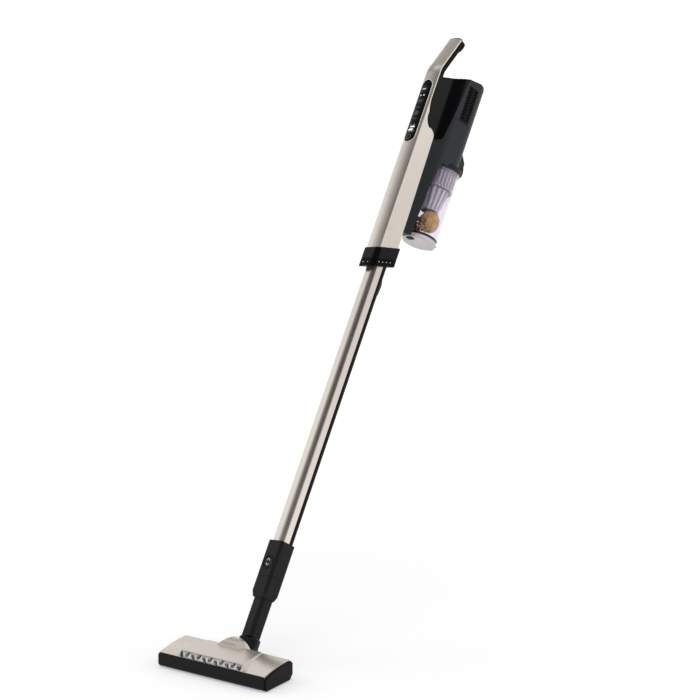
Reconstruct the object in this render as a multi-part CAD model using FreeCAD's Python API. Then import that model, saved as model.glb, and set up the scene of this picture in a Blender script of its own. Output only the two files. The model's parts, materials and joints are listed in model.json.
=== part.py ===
import FreeCAD, Part
import os
from math import sin, cos, radians, degrees, sqrt, atan2, pi

# Cordless stick vacuum cleaner, millimetres, +Z up.
# Origin: centre of the glide strip under the floor head, on the floor.
# The head points to -Y.  The stick is built upright in a frame of its own, whose origin is
# the pitch pin: x across, y to the back, z up the stick.  It is then swivelled and leaned.

V = FreeCAD.Vector
X_AXIS = V(1, 0, 0)
Y_AXIS = V(0, 1, 0)
Z_AXIS = V(0, 0, 1)

# ---- driving dimensions: stance -------------------------------------------------------------
stick_lean = 33.7            # stick back from upright, degrees
stick_swivel = 16.0          # stick turned about its own axis, degrees
pivot_setback = 97.3         # pitch pin behind the front edge of the head cover
pivot_height = 18.0          # pitch pin above the floor
glide_setback = 62.0         # glide strip behind the front edge of the head cover

# ---- driving dimensions: floor head ---------------------------------------------------------
cover_width = 220.0
cover_depth = 73.0
end_cap_width = 4.0          # black end caps beside the cover
base_overhang = 4.5          # base behind the cover
front_height = 27.0          # top of the base at the front
rear_height = 36.0           # top of the base at the back
head_wall = 2.4
cover_skin = 2.0             # thickness of the cover
cover_crown = 2.6            # the cover's top bulges this far above a straight slope
crown_steps = 8
sole_gap = 1.6               # sole above the floor
centre_shift = -3.5          # the middle sits away from the belt side
centre_half = 64.5           # raised middle of the cover, at the front
centre_half_rear = 56.0
centre_flare = 11.3          # spread of its flanks
centre_rise = 11.0           # raised middle above the front edge
centre_ramp = 6.0            # depth of its front slope
dome_half = 35.0
dome_front = 54.0            # from the cover's front edge
dome_rear = 81.5
dome_top = 51.5              # above the floor
window_length = 128.0
window_height = 10.4
window_corner = 4.0
window_thickness = 2.0
brush_radius = 11.4
brush_core_radius = 7.4
brush_end_room = 15.0          # cover beyond each end of the brush
brush_setback = 19.0
brush_gap = 1.6              # between the bristles and their chamber
pulley_radius = 6.0
pinion_radius = 4.0
belt_width = 2.6
belt_thickness = 1.0
brush_motor_radius = 10.0
brush_motor_setback = 60.0
brush_motor_height = 16.5
brush_fins = 6
brush_shaft_radius = 3.0
bearing_radius = 5.5
pulley_teeth = 15
pinion_teeth = 10
motor_saddle_places = (44.0, 76.0)
wheel_radius = 9.0
wheel_width = 7.0
roller_radius = 4.6
roller_width = 6.0
roller_setback = 1.5
cheek_width = 7.0            # cheeks of the carrier behind the base
cheek_radius = 7.0
glide_half_depth = 6.0
screw_radius = 1.6
screw_head_radius = 3.2
screw_setback = 46.0
lamp_count = 10
bumper_thickness = 2.0
pin_radius = 3.0
running_gap = 0.05
part_gap = 0.4

# ---- driving dimensions: elbow, neck and connector ------------------------------------------
drum_radius = 13.0
drum_half = 20.0
elbow_half_width = 19.5
elbow_half_depth = 14.0
elbow_top = 28.0             # along the stick from the pitch pin
spigot_radius = 10.6
neck_width = 28.0
neck_depth = 26.3
neck_corner = 7.0
neck_start = 28.6
neck_length = 70.0
connector_width = 38.0
connector_front = -18.0
connector_back = 16.0
connector_corner = 6.0
connector_seam = 37.0        # seam above the connector's lower end
connector_length = 104.0
button_height = 63.3         # release button above the connector's lower end
button_radius = 12.5
button_travel = 2.0
button_sunk = 1.4            # back of the button's cap below the connector's front
leaf_thickness = 0.5

# ---- driving dimensions: wand ---------------------------------------------------------------
wand_width = 27.0
wand_front = -16.6
wand_back = 16.6
wand_corner = 9.0
wand_split = 3.4             # gold front shell meets the black back rail
wand_wall = 1.6
wand_exposed = 538.0         # from the connector to the collar, on the stick's axis
plug_depth = 34.0            # how far the wand's plugs reach into their sockets
lever_length = 33.0
lever_width = 14.0
lever_proud = 3.6
lever_below = 50.0           # lower end of the lever below the collar

# ---- driving dimensions: collar and body ----------------------------------------------------
collar_height = 38.0
collar_slope = 0.41          # rise of the collar's edges per mm towards the back
collar_half = 21.0
collar_front = -28.7
collar_back = 26.0
collar_corner = 10.0
rib_count = 10               # grip ribs on each side of the collar
rib_count_front = 7
rib_depth = 0.9
rib_half = 0.8
collar_split = 16.5          # smooth band starts this far above the collar's lower edge
body_half = 18.25
body_front = -27.3
body_bow = 5.0               # the front face bows this far ahead of its side creases
body_back_low = 19.4         # back edge of the gold sides at the collar
body_back_high = 14.2        # and at their top
body_wall = 2.0
gold_top = 236.0             # top of the gold sides above the collar
band_depth = 12.0            # gold front band above the sides
bend_start = 352.0           # start of the handle's bend above the collar
bend_radius = 60.0
bend_angle = 18.6
handle_length = 68.0
grip_depth = 6.5
tip_cap = 2.6

# ---- driving dimensions: rear housing, motor and cup ----------------------------------------
cup_axis = 76.7              # behind the stick's axis
cup_radius = 32.0
cup_wall = 1.8
cup_bottom = 48.6            # above the collar
cup_length = 147.0
lid_thickness = 7.0
ring_radius = 34.0
ring_height = 9.0
drum_height = 31.0           # ribbed part of the separator
drum_ribs = 30
tube_height = 44.0           # its tapered lower tube
tube_start = 24.5
tube_end = 16.5
spine_half_low = 17.6
spine_bottom = 40.6          # above the collar
housing_half = 30.0
housing_back = 98.0
housing_corner = 24.0
housing_wall = 2.6
housing_top_front = 348.0    # top of the housing above the collar, at the handle
housing_top_mid = 372.0
housing_top_back = 378.0
vent_front = 49.5
vent_back = 73.5
vent_below = 82.0            # lower edge of the vents under the housing's middle
vent_rows = 11
vent_pitch = 6.0
latch_above = 11.0           # catch of the cup above the cup's mouth
latch_half = 10.0
motor_axis = 70.0
motor_radius = 21.0
motor_length = 46.0
fan_radius = 20.0
cell_radius = 9.1
cell_length = 65.0
duct_radius = 8.4
duct_wall = 1.2
panel_half = 12.5
panel_bottom = 205.5
panel_top = 334.2
panel_proud = 1.0
panel_thickness = 2.0
switch_travel = 0.8
key_depth = 1.9              # back of the keys below the panel's face

# ---- places worked out from the driving dimensions ------------------------------------------
FRONT = -glide_setback
PIVOT = V(0, FRONT + pivot_setback, pivot_height)
connector_z = neck_start + neck_length
connector_top = connector_z + connector_length
collar_z = connector_top + wand_exposed
collar_top = collar_z + collar_height
base_half = cover_width / 2 + end_cap_width
brush_length = cover_width - 2 * brush_end_room
far = 3 * cover_width          # reach of blocks that only cut
wide = 2.7 * housing_half      # half width of prisms that only trim the stick
skyline = collar_top + housing_top_back + 82.0
base_back = cover_depth + base_overhang
cup_z = collar_top + cup_bottom
cup_top = cup_z + cup_length
top_slope = (rear_height - front_height) / cover_depth


# ---- small helpers --------------------------------------------------------------------------
def box(x0, x1, y0, y1, z0, z1):
    return Part.makeBox(x1 - x0, y1 - y0, z1 - z0, V(x0, y0, z0))


def rod(radius, start, end):
    return Part.makeCylinder(radius, (end - start).Length, start, end - start)


def rounded(half, front, back, corner_front, corner_back):
    """Closed outline of a box section, symmetric in x, with round corners."""
    edges = []
    f = corner_front
    b = corner_back
    k = sqrt(0.5)
    edges.append(Part.makeLine(V(-half + f, front, 0), V(half - f, front, 0)))
    edges.append(Part.Arc(V(half - f, front, 0), V(half - f + f * k, front + f - f * k, 0),
                          V(half, front + f, 0)).toShape())
    edges.append(Part.makeLine(V(half, front + f, 0), V(half, back - b, 0)))
    edges.append(Part.Arc(V(half, back - b, 0), V(half - b + b * k, back - b + b * k, 0),
                          V(half - b, back, 0)).toShape())
    edges.append(Part.makeLine(V(half - b, back, 0), V(-half + b, back, 0)))
    edges.append(Part.Arc(V(-half + b, back, 0), V(-half + b - b * k, back - b + b * k, 0),
                          V(-half, back - b, 0)).toShape())
    edges.append(Part.makeLine(V(-half, back - b, 0), V(-half, front + f, 0)))
    edges.append(Part.Arc(V(-half, front + f, 0), V(-half + f - f * k, front + f - f * k, 0),
                          V(-half + f, front, 0)).toShape())
    return Part.Wire(edges)


def bowed(half, front, back, bow, corner_back, shrink):
    """Closed outline with an arched front, a crease at each side and round back corners."""
    bow_radius = (half * half + bow * bow) / (2 * bow)
    r = bow_radius - shrink
    h = half - shrink
    y_side = front + bow_radius - sqrt(r * r - h * h)
    rear = back - shrink
    b = max(corner_back - shrink, 0.6)
    k = sqrt(0.5)
    edges = [Part.Arc(V(-h, y_side, 0), V(0, front + shrink, 0), V(h, y_side, 0)).toShape(),
             Part.makeLine(V(h, y_side, 0), V(h, rear - b, 0)),
             Part.Arc(V(h, rear - b, 0), V(h - b + b * k, rear - b + b * k, 0),
                      V(h - b, rear, 0)).toShape(),
             Part.makeLine(V(h - b, rear, 0), V(-h + b, rear, 0)),
             Part.Arc(V(-h + b, rear, 0), V(-h + b - b * k, rear - b + b * k, 0),
                      V(-h, rear - b, 0)).toShape(),
             Part.makeLine(V(-h, rear - b, 0), V(-h, y_side, 0))]
    return Part.Wire(edges)


def column(wire, z0, z1):
    """Prism of an outline drawn at z = 0."""
    face = Part.Face(wire)
    face.translate(V(0, 0, z0))
    return face.extrude(V(0, 0, z1 - z0))


def outline(points):
    """Closed outline in the y-z plane."""
    corners = [V(0, y, z) for y, z in points]
    return Part.makePolygon(corners + corners[:1])


def side_prism(points, half, other=None):
    """Prism along x of an outline drawn in the y-z plane, from -half to half."""
    low = -half if other is None else other
    face = Part.Face(outline(points))
    face.translate(V(low, 0, 0))
    return face.extrude(V(half - low, 0, 0))


def above(level, slope):
    """Half space above the plane z = level + slope * y."""
    reach = 400.0
    low = level - slope * reach
    high = level + slope * reach
    return side_prism([(-reach, low), (reach, high), (reach, high + 2000), (-reach, low + 2000)],
                      reach)


def mirrored(shape):
    return shape.mirror(V(0, 0, 0), X_AXIS)


def both(shape):
    return Part.makeCompound([shape, mirrored(shape)])


def fuse(*shapes):
    return shapes[0].multiFuse(list(shapes[1:])).removeSplitter()


def hull_loft(sections):
    return Part.makeLoft(sections, True, True)


def placed_on_stick(shape):
    """From the stick's own frame to the part's frame."""
    turned = shape.copy()
    turned.rotate(V(0, 0, 0), Z_AXIS, -stick_swivel)
    turned.rotate(V(0, 0, 0), X_AXIS, -stick_lean)
    turned.translate(PIVOT)
    return turned


def placed_on_elbow(shape):
    """As placed_on_stick, for the piece below the swivel."""
    turned = shape.copy()
    turned.rotate(V(0, 0, 0), X_AXIS, -stick_lean)
    turned.translate(PIVOT)
    return turned


def fillet_where(shape, radius, test):
    """Round the edges whose middle point passes the test."""
    picked = []
    for edge in shape.Edges:
        middle = edge.valueAt((edge.FirstParameter + edge.LastParameter) / 2)
        if test(middle, edge):
            picked.append(edge)
    return shape.makeFillet(radius, picked)


# ---- floor head -----------------------------------------------------------------------------
def head_y(setback):
    return FRONT + setback


def cover_z(setback):
    """Height of the cover's crowned top."""
    share = setback / cover_depth
    return front_height + top_slope * setback + 4 * cover_crown * share * (1 - share)


def base_profile(inset=0.0, top_drop=None):
    """Side outline of the base, drawn in by inset on every side but the sole."""
    back = base_back - inset
    drop = inset + cover_skin + 0.1 if top_drop is None else top_drop
    front = head_y(-1.0 + inset)
    places = [cover_depth * (1 - i / crown_steps) for i in range(1, crown_steps)]
    crown = [(head_y(setback), cover_z(setback) - drop) for setback in places]
    return [(front, sole_gap + 3.5), (front + 3.0, sole_gap),
            (head_y(back - 8.0), sole_gap), (head_y(back), sole_gap + 9.0),
            (head_y(back), rear_height - 4.0 - drop),
            (head_y(cover_depth + 1.0) - inset, rear_height - drop)] + crown + [
            (front + 3.0, front_height - drop), (front, front_height - 3.0 - drop)]


def tongue():
    """Carrier behind the base that holds the drum's pins."""
    floor_plate = box(-cheek_out, cheek_out, head_y(base_back - 3), PIVOT.y + 2, sole_gap, 3.6)
    cheek = rod(cheek_radius, V(cheek_in, PIVOT.y, PIVOT.z), V(cheek_out, PIVOT.y, PIVOT.z))
    web = box(cheek_in, cheek_out, head_y(base_back - 3), PIVOT.y + 6.4, sole_gap, PIVOT.z + 2)
    side = fuse(cheek, web)
    return fuse(floor_plate, side, mirrored(side))


cheek_in = drum_half + part_gap + 0.4
cheek_out = cheek_in + cheek_width


def head_base():
    outer = side_prism(base_profile(), base_half - end_cap_width)
    inner = side_prism(base_profile(head_wall), base_half - end_cap_width - head_wall)
    shell = outer.cut(inner.cut(box(-far, far, -far, far, 0, sole_gap + head_wall)))
    reach = brush_radius + brush_gap
    mouth = box(-brush_length / 2 - 1, brush_length / 2 + 1, head_y(brush_setback - reach),
                head_y(brush_setback + reach), 0, sole_gap + head_wall + 1)
    shell = shell.cut(mouth)
    rear_port = box(-19, 19, head_y(base_back - 4), head_y(base_back + 4), 6, 29)
    shell = shell.cut(rear_port)
    wall_y = brush_setback + reach
    end = brush_shaft_length()
    chamber = box(-end, end, head_y(wall_y), head_y(wall_y + 2), sole_gap + 1,
                  cover_z(wall_y) - head_wall - cover_skin)
    chamber = chamber.cut(box(-16, 16, head_y(wall_y - 1), head_y(wall_y + 3), 8, 26))
    bearing_walls = both(box(end - 3, end, head_y(0.5), head_y(wall_y + 2), sole_gap + 1,
                             cover_z(0.5) - head_wall - cover_skin))
    bore = rod(bearing_radius, V(-far, head_y(brush_setback), brush_z),
               V(far, head_y(brush_setback), brush_z))
    shell = fuse(shell, chamber, tongue(), motor_saddles(), *bearing_walls.Solids)
    shell = shell.cut(bore.common(box(-base_half + 12, base_half - 12, -far, far, 0, 100)))
    shell = shell.cut(pin_bores())
    shell = shell.cut(roller_pockets())
    shell = shell.cut(glide_recess())
    return shell.cut(screw_holes())


brush_z = brush_radius + 1.0


def motor_saddles():
    """Two cradles under the brush motor."""
    y = head_y(brush_motor_setback)
    r = brush_motor_radius
    cradles = [box(x, x + 3, y - r + 2, y + r - 2, sole_gap + 1, brush_motor_height - 3)
               for x in motor_saddle_places]
    can = rod(r, V(30, y, brush_motor_height), V(100, y, brush_motor_height))
    return Part.makeCompound(cradles).cut(can)


def pin_bores():
    return rod(pin_radius, V(-60, PIVOT.y, PIVOT.z), V(60, PIVOT.y, PIVOT.z))


def roller_place():
    return base_half - end_cap_width - 9.0


def roller_pockets():
    x = roller_place()
    half = roller_width / 2 + part_gap
    front = head_y(roller_setback)
    pocket = box(x - half, x + half, front, front + 2 * roller_radius + 2.4, 0, 12)
    return both(pocket)


def front_roller(side):
    x = side * roller_place()
    half = roller_width / 2
    y = head_y(roller_setback) + roller_radius + 1.2
    z = roller_radius + 0.3
    wheel = rod(roller_radius, V(x - half, y, z), V(x + half, y, z))
    wheel = wheel.makeChamfer(0.7, [e for e in wheel.Edges if e.Length > 8])
    axle = rod(1.2 + running_gap, V(x - 20, y, z), V(x + 20, y, z))
    return wheel.cut(axle)


def roller_axles():
    x = roller_place()
    y = head_y(roller_setback) + roller_radius + 1.2
    z = roller_radius + 0.3
    half = roller_width / 2 + part_gap
    return both(rod(1.2, V(x - half, y, z), V(x + half, y, z)))


def glide_recess():
    half = base_half - 30.0
    return box(-half, half, -glide_half_depth, glide_half_depth, sole_gap - 1, sole_gap + 0.8)


def glide_strip():
    half = base_half - 30.0
    strip = box(-half, half, -glide_half_depth, glide_half_depth, 0, sole_gap + 0.8)
    return strip.makeFillet(0.6, [e for e in strip.Edges if abs(e.CenterOfMass.z) < 0.01])


def screw_places():
    outer = base_half - 22.0
    inner = base_half - 66.0
    return [(x, head_y(screw_setback)) for x in (-outer, -inner, inner, outer)]


def screw_holes():
    holes = [Part.makeCylinder(screw_radius, 12, V(x, y, 0)) for x, y in screw_places()]
    heads = [Part.makeCylinder(screw_head_radius, sole_gap + 2.4, V(x, y, 0)) for x, y in screw_places()]
    return Part.makeCompound(holes + heads)


def head_screws():
    screws = []
    for x, y in screw_places():
        shank = Part.makeCylinder(screw_radius, 9.0, V(x, y, sole_gap + 0.6))
        head = Part.makeCylinder(screw_head_radius, 1.6, V(x, y, sole_gap + 0.8))
        slot = box(x - 2.4, x + 2.4, y - 0.4, y + 0.4, 0, sole_gap + 1.4)
        screws.append(fuse(head, shank).cut(slot))
    return Part.makeCompound(screws)


def end_cap(side):
    profile = base_profile(0.0, 2.4)
    near = side_prism(profile, base_half, base_half - end_cap_width)
    near = near.makeFillet(1.6, [e for e in near.Edges
                                 if abs(e.CenterOfMass.x - base_half) < 0.01])
    return near if side > 0 else mirrored(near)


def front_bumper():
    """Soft strip round the front of the base."""
    half = cover_width / 2
    front = head_y(-1.0 - bumper_thickness)
    strip = box(-half, half, front, head_y(-1.0), 5.0, front_height - 0.5)
    return strip.makeFillet(1.6, [e for e in strip.Edges if abs(e.CenterOfMass.y - front) < 0.01])


def cover_block(drop=0.0):
    """Outer form of the cover; drop lowers the top and draws the sides in."""
    half = cover_width / 2
    front = V(-half, head_y(drop), front_height - drop)
    rear = V(-half, head_y(cover_depth - drop), rear_height - drop)
    middle = (front + rear) * 0.5 + V(0, 0, cover_crown)
    foot = V(-half, rear.y, front_height - 30)
    edges = [Part.Arc(front, middle, rear).toShape(), Part.makeLine(rear, foot),
             Part.makeLine(foot, V(-half, front.y, foot.z)),
             Part.makeLine(V(-half, front.y, foot.z), front)]
    wings = Part.Face(Part.Wire(edges)).extrude(V(cover_width, 0, 0))
    crest = front_height + centre_rise - drop
    low_end = rear_height + 1.4 - drop
    sections = []
    for setback, z, half_top in ((drop * 1.3, front_height + 0.4 - drop * 0.4, centre_half - drop),
                                 (centre_ramp + drop * 0.8, crest, centre_half - drop),
                                 (cover_depth - drop, low_end, centre_half_rear - drop)):
        y = head_y(setback)
        spread = centre_flare * (z - 12.0) / 12.0
        corners = [V(x + centre_shift, y, level)
                   for x, level in ((-half_top, z), (half_top, z), (half_top + spread, 12),
                                    (-half_top - spread, 12))]
        sections.append(Part.makePolygon(corners + corners[:1]))
    centre = hull_loft(sections)
    return wings.fuse([centre, dome(drop)]).removeSplitter()


def oval(centre, side_point, top_point, sweep):
    """Half-round vault: an ellipse pushed along the sweep."""
    far_point, near_point = side_point, top_point
    if (near_point - centre).Length > (far_point - centre).Length:
        far_point, near_point = near_point, far_point
    ring = Part.Ellipse(far_point, near_point, centre).toShape()
    return Part.Face(Part.Wire(ring)).extrude(sweep)


def dome(drop):
    """Cowl over the drum: two crossing vaults, with a flat facet towards the belt side."""
    x0 = centre_shift - 3.0
    half = dome_half - drop
    y0 = dome_rear + 3.5
    depth = y0 - dome_front - drop
    low = 12.0
    top = dome_top - drop
    reach = 2 * dome_half
    side = oval(V(x0, head_y(20), low), V(x0 + half, head_y(20), low), V(x0, head_y(20), top),
                V(0, 100, 0))
    front = oval(V(x0 - reach, head_y(y0), low), V(x0 - reach, head_y(y0 - depth), low),
                 V(x0 - reach, head_y(y0), top), V(2 * reach, 0, 0))
    keep = box(x0 - half, x0 + half, head_y(dome_front), head_y(dome_rear - drop), 14, top)
    body = side.common(front).common(keep)
    outward = V(0.479, -0.583, 0.657)
    facet = Part.makeBox(120, 120, 60, V(-60, -60, 0))
    facet.Placement = FreeCAD.Placement(V(0, 0, 0), FreeCAD.Rotation(Z_AXIS, outward))
    facet.translate(V(7.0, head_y(58.4), 34.0) - outward * drop)
    return body.cut(facet)


def head_cover():
    outer = cover_block()
    inner = cover_block(cover_skin)
    inner = inner.fuse(box(-far, far, head_y(cover_skin), head_y(cover_depth + 20), 0,
                           front_height - 8))
    shell = outer.cut(inner)
    under = side_prism(base_profile(0.0, cover_skin + 0.05), base_half + 20)
    shell = shell.cut(under)
    shell = shell.cut(box(-far, far, -far, far, -10, front_height - 4))
    shell = shell.cut(box(-40, 40, head_y(dome_rear - 0.1), far, 0, 100))
    shell = shell.cut(window_pocket())
    return max(shell.Solids, key=lambda solid: solid.Volume)


def window_solid(grow=0.0, depth=window_thickness):
    """Long lens with round corners on the slope at the front of the cover."""
    slope = atan2(centre_rise, centre_ramp)
    half = window_length / 2 + grow
    high = window_height / 2 + grow
    lens = box(-half, half, -high, high, -max(depth, 0), max(-depth, 0))
    lens = lens.makeFillet(window_corner, [e for e in lens.Edges
                                           if abs(e.Length - abs(depth)) < 0.001])
    lens.rotate(V(0, 0, 0), X_AXIS, degrees(slope))
    lens.translate(V(centre_shift, head_y(centre_ramp / 2 - 0.4),
                     front_height + centre_rise / 2 - 0.4))
    return lens


def window_pocket():
    return window_solid(0.15, head_wall * 3).fuse(window_solid(0.15, -2.0))


def head_window():
    return window_solid()


def led_board():
    """Board with its row of lamps, held behind the window."""
    y = head_y(centre_ramp + 5.0)
    z = cover_z(centre_ramp + 6.4) - cover_skin - 0.05
    half = window_length / 2 - 6.0
    pitch = (2 * half - 8.0) / (lamp_count - 1)
    board = box(centre_shift - half, centre_shift + half, y, y + 1.4, z, z + 6.8)
    lamps = [box(x - 1.6, x + 1.6, y - 1.2, y, z + 2.4, z + 4.8)
             for x in [centre_shift + pitch * (i - (lamp_count - 1) / 2) for i in range(lamp_count)]]
    return fuse(board, *lamps)


def brush_shaft_length():
    return brush_length / 2 + 5.2


def brush_core():
    """Core on its shaft, with the toothed pulley outside the right bearing."""
    y = head_y(brush_setback)
    half = brush_length / 2
    core = rod(brush_core_radius, V(-half, y, brush_z), V(half, y, brush_z))
    stub = brush_shaft_length()
    shaft = rod(brush_shaft_radius, V(-stub, y, brush_z), V(stub + 0.2, y, brush_z))
    wheel = toothed_wheel(pulley_radius, pulley_teeth, V(stub + 0.2, y, brush_z))
    return fuse(core, shaft, wheel)


def toothed_wheel(radius, teeth, start):
    """Belt wheel with square grooves; its right face is the belt's width from start."""
    width = belt_width + 0.6
    wheel = rod(radius, start, start + V(width, 0, 0))
    cutters = []
    for i in range(teeth):
        groove = box(-1, width + 1, -0.45, 0.45, radius - 0.7, radius + 1)
        groove.rotate(V(0, 0, 0), X_AXIS, 360.0 * i / teeth)
        groove.translate(start)
        cutters.append(groove)
    return wheel.cut(Part.makeCompound(cutters))


def brush_fin(index):
    """One chevron fin: two ruled halves that twist away from the middle."""
    y = head_y(brush_setback)
    half = brush_length / 2 - 1
    start = index * 360.0 / brush_fins
    sections = []
    steps = 6
    for i in range(steps + 1):
        x = -half + 2 * half * i / steps
        turn = radians(start + 50.0 * (1 - abs(x) / half))
        out = V(0, cos(turn), sin(turn))
        across = V(0, -sin(turn), cos(turn))
        centre = V(x, y, brush_z)
        low = brush_core_radius - 0.8
        corners = [centre + out * low + across * 0.9, centre + out * low - across * 0.9,
                   centre + out * brush_radius - across * 0.7,
                   centre + out * brush_radius + across * 0.7]
        sections.append(Part.makePolygon(corners + corners[:1]))
    fins = [hull_loft(sections[i:i + 2]) for i in range(steps)]
    return fins[0].multiFuse(fins[1:])


def brush_bristles():
    fins = [brush_fin(i).cut(brush_core()) for i in range(brush_fins)]
    return Part.makeCompound([s for f in fins for s in f.Solids])


def brush_bearings():
    y = head_y(brush_setback)
    inner = brush_length / 2 + 2.2
    ring = rod(bearing_radius, V(inner, y, brush_z), V(inner + 3.0, y, brush_z))
    ring = ring.cut(rod(brush_shaft_radius + running_gap, V(-far, y, brush_z), V(far, y, brush_z)))
    return both(ring)


def brush_motor():
    """Motor across the back of the head, beside the air duct."""
    z = brush_motor_height
    y = head_y(brush_motor_setback)
    can = rod(brush_motor_radius, V(38, y, z), V(84, y, z))
    can = can.makeChamfer(1.2, [e for e in can.Edges if e.Length > 40])
    boss = rod(4.0, V(83, y, z), V(87, y, z))
    bore = rod(1.5 + running_gap, V(60, y, z), V(100, y, z))
    return fuse(can, boss).cut(bore)


def motor_pinion():
    z = brush_motor_height
    y = head_y(brush_motor_setback)
    start = brush_shaft_length() + 0.2
    shaft = rod(1.5, V(62, y, z), V(start, y, z))
    return fuse(shaft, toothed_wheel(pinion_radius, pinion_teeth, V(start, y, z)))


def belt_loop(grow, width):
    """Solid inside a belt stretched over the two wheels."""
    a = V(0, head_y(brush_setback), brush_z)
    b = V(0, head_y(brush_motor_setback), brush_motor_height)
    ra = pulley_radius + grow
    rb = pinion_radius + grow
    span = (b - a).Length
    tilt = atan2(b.z - a.z, b.y - a.y)
    lean = atan2(ra - rb, sqrt(span * span - (ra - rb) ** 2))

    def on(centre, radius, angle):
        return centre + V(0, cos(angle), sin(angle)) * radius
    up = tilt + pi / 2 - lean
    down = tilt - pi / 2 + lean
    edges = [Part.makeLine(on(a, ra, up), on(b, rb, up)),
             Part.Arc(on(b, rb, up), on(b, rb, tilt), on(b, rb, down)).toShape(),
             Part.makeLine(on(b, rb, down), on(a, ra, down)),
             Part.Arc(on(a, ra, down), on(a, ra, tilt + pi), on(a, ra, up)).toShape()]
    face = Part.Face(Part.Wire(edges))
    face.translate(V(brush_shaft_length() + 0.5 - (width - belt_width) / 2, 0, 0))
    return face.extrude(V(width, 0, 0))


def drive_belt():
    return belt_loop(0.3 + belt_thickness, belt_width).cut(belt_loop(0.3, belt_width + 2))


def rear_wheel_axis():
    return V(0, PIVOT.y + 1.0, wheel_radius + 0.3)


def rear_wheel(side):
    c = rear_wheel_axis()
    start = cheek_out + part_gap
    wheel = rod(wheel_radius, V(start, c.y, c.z), V(start + wheel_width, c.y, c.z))
    wheel = wheel.makeChamfer(1.2, [e for e in wheel.Edges if e.Length > 20])
    wheel = wheel.cut(rod(1.8 + running_gap, V(0, c.y, c.z), V(90, c.y, c.z)))
    return wheel if side > 0 else mirrored(wheel)


def head_pins():
    """Pitch pins, wheel axles with their heads, and the axles of the front rollers."""
    pin = rod(pin_radius, V(drum_half - 7, PIVOT.y, PIVOT.z), V(cheek_out, PIVOT.y, PIVOT.z))
    c = rear_wheel_axis()
    end = cheek_out + part_gap + wheel_width
    axle = rod(1.8, V(cheek_out, c.y, c.z), V(end + 0.6, c.y, c.z))
    head = rod(3.0, V(end + 0.4, c.y, c.z), V(end + 1.4, c.y, c.z))
    axle = fuse(axle, head)
    return Part.makeCompound([pin, mirrored(pin), axle, mirrored(axle)] + roller_axles().Solids)


# ---- elbow ----------------------------------------------------------------------------------
def swivel_elbow():
    """Drum that pitches in the head, with the socket that the neck swivels in."""
    drum = rod(drum_radius, V(-drum_half, 0, 0), V(drum_half, 0, 0))
    drum = drum.makeChamfer(1.6, [e for e in drum.Edges if e.Length > 30])
    block = column(rounded(elbow_half_width, -elbow_half_depth, elbow_half_depth,
                           elbow_half_depth - 1, elbow_half_depth - 1), 0, elbow_top)
    block = block.makeChamfer(2.4, [e for e in block.Edges
                                    if abs(e.CenterOfMass.z - elbow_top) < 0.01])
    body = fuse(drum, block)
    body = body.cut(Part.makeCylinder(spigot_radius + running_gap, 60, V(0, 0, 8)))
    body = body.cut(Part.makeCylinder(spigot_radius - 1.6, 60, V(0, 0, -2)))
    mouth = box(-15, 15, -30, 0, -7, 7)
    body = body.cut(mouth)
    return body.cut(rod(pin_radius + running_gap, V(-60, 0, 0), V(60, 0, 0)).cut(
        box(-drum_half + 7.2, drum_half - 7.2, -20, 20, -20, 20)))


# ---- neck and connector ---------------------------------------------------------------------
def neck_tube():
    """Neck with the round spigot that turns in the elbow."""
    half = neck_width / 2
    front = -neck_depth / 2
    back = neck_depth / 2
    tube = column(rounded(half, front, back, neck_corner, neck_corner), neck_start, connector_z + 2)
    tube = fuse(tube, Part.makeCylinder(spigot_radius, 24, V(0, 0, neck_start - 20)))
    return tube.cut(Part.makeCylinder(spigot_radius - 1.6, 200, V(0, 0, 0)))


def connector_section(shrink=0.0):
    return rounded(connector_width / 2 - shrink, connector_front + shrink, connector_back - shrink,
                   connector_corner - shrink / 2, connector_corner - shrink / 2)


def connector_shell():
    """Moulded connector: a tapered lower end, a seam, and the socket for the wand."""
    low = connector_section(3.2)
    low.translate(V(0, 0, connector_z))
    mid = connector_section()
    mid.translate(V(0, 0, connector_z + 10.0))
    taper = hull_loft([low, mid])
    seam_z = connector_z + connector_seam
    lower = column(connector_section(), connector_z + 10.0, seam_z - 0.7)
    groove = column(connector_section(0.8), seam_z - 0.7, seam_z + 0.7)
    upper = column(connector_section(), seam_z + 0.7, connector_top)
    shell = fuse(taper, lower, groove, upper)
    shell = shell.makeFillet(1.2, [e for e in shell.Edges
                                   if abs(e.CenterOfMass.z - connector_top) < 0.01])
    plug = column(plug_section(part_gap), connector_top - plug_depth - 1, connector_top + 5)
    throat = column(rounded(8.6, -8.6, 8.6, 8.5, 8.5), connector_z - 5, connector_top)
    shell = shell.cut(plug)
    shell = shell.cut(throat)
    half = neck_width / 2
    neck_hole = column(rounded(half, -neck_depth / 2, neck_depth / 2, neck_corner, neck_corner),
                       connector_z - 5, connector_z + 2)
    shell = shell.cut(neck_hole)
    return shell.cut(button_pocket())


def button_centre():
    return V(0, connector_front, connector_z + button_height)


def button_depth():
    """Depth of the button's pocket: cap, travel, leaf spring and room for its bend."""
    return button_sunk + button_travel + leaf_thickness + 0.7


def button_pocket():
    depth = button_depth()
    return Part.makeCylinder(button_radius + part_gap, depth + 5,
                             button_centre() + V(0, depth, 0), V(0, -1, 0))


def release_button():
    """Round push button with a shallow dish."""
    c = button_centre()
    cap = Part.makeCylinder(button_radius, 2.2, c + V(0, button_sunk, 0), V(0, -1, 0))
    cap = cap.makeChamfer(0.8, [e for e in cap.Edges if abs(e.CenterOfMass.y - (c.y - 0.8)) < 0.01])
    dish = Part.makeCone(button_radius - 3.5, button_radius - 1.8, 0.5, c + V(0, -0.3, 0), V(0, -1, 0))
    return cap.cut(dish)


def button_spring():
    """Leaf spring under the release button."""
    c = button_centre()
    depth = button_depth()
    return box(-7, 7, c.y + depth - leaf_thickness, c.y + depth, c.z - 4, c.z + 4)


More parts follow.
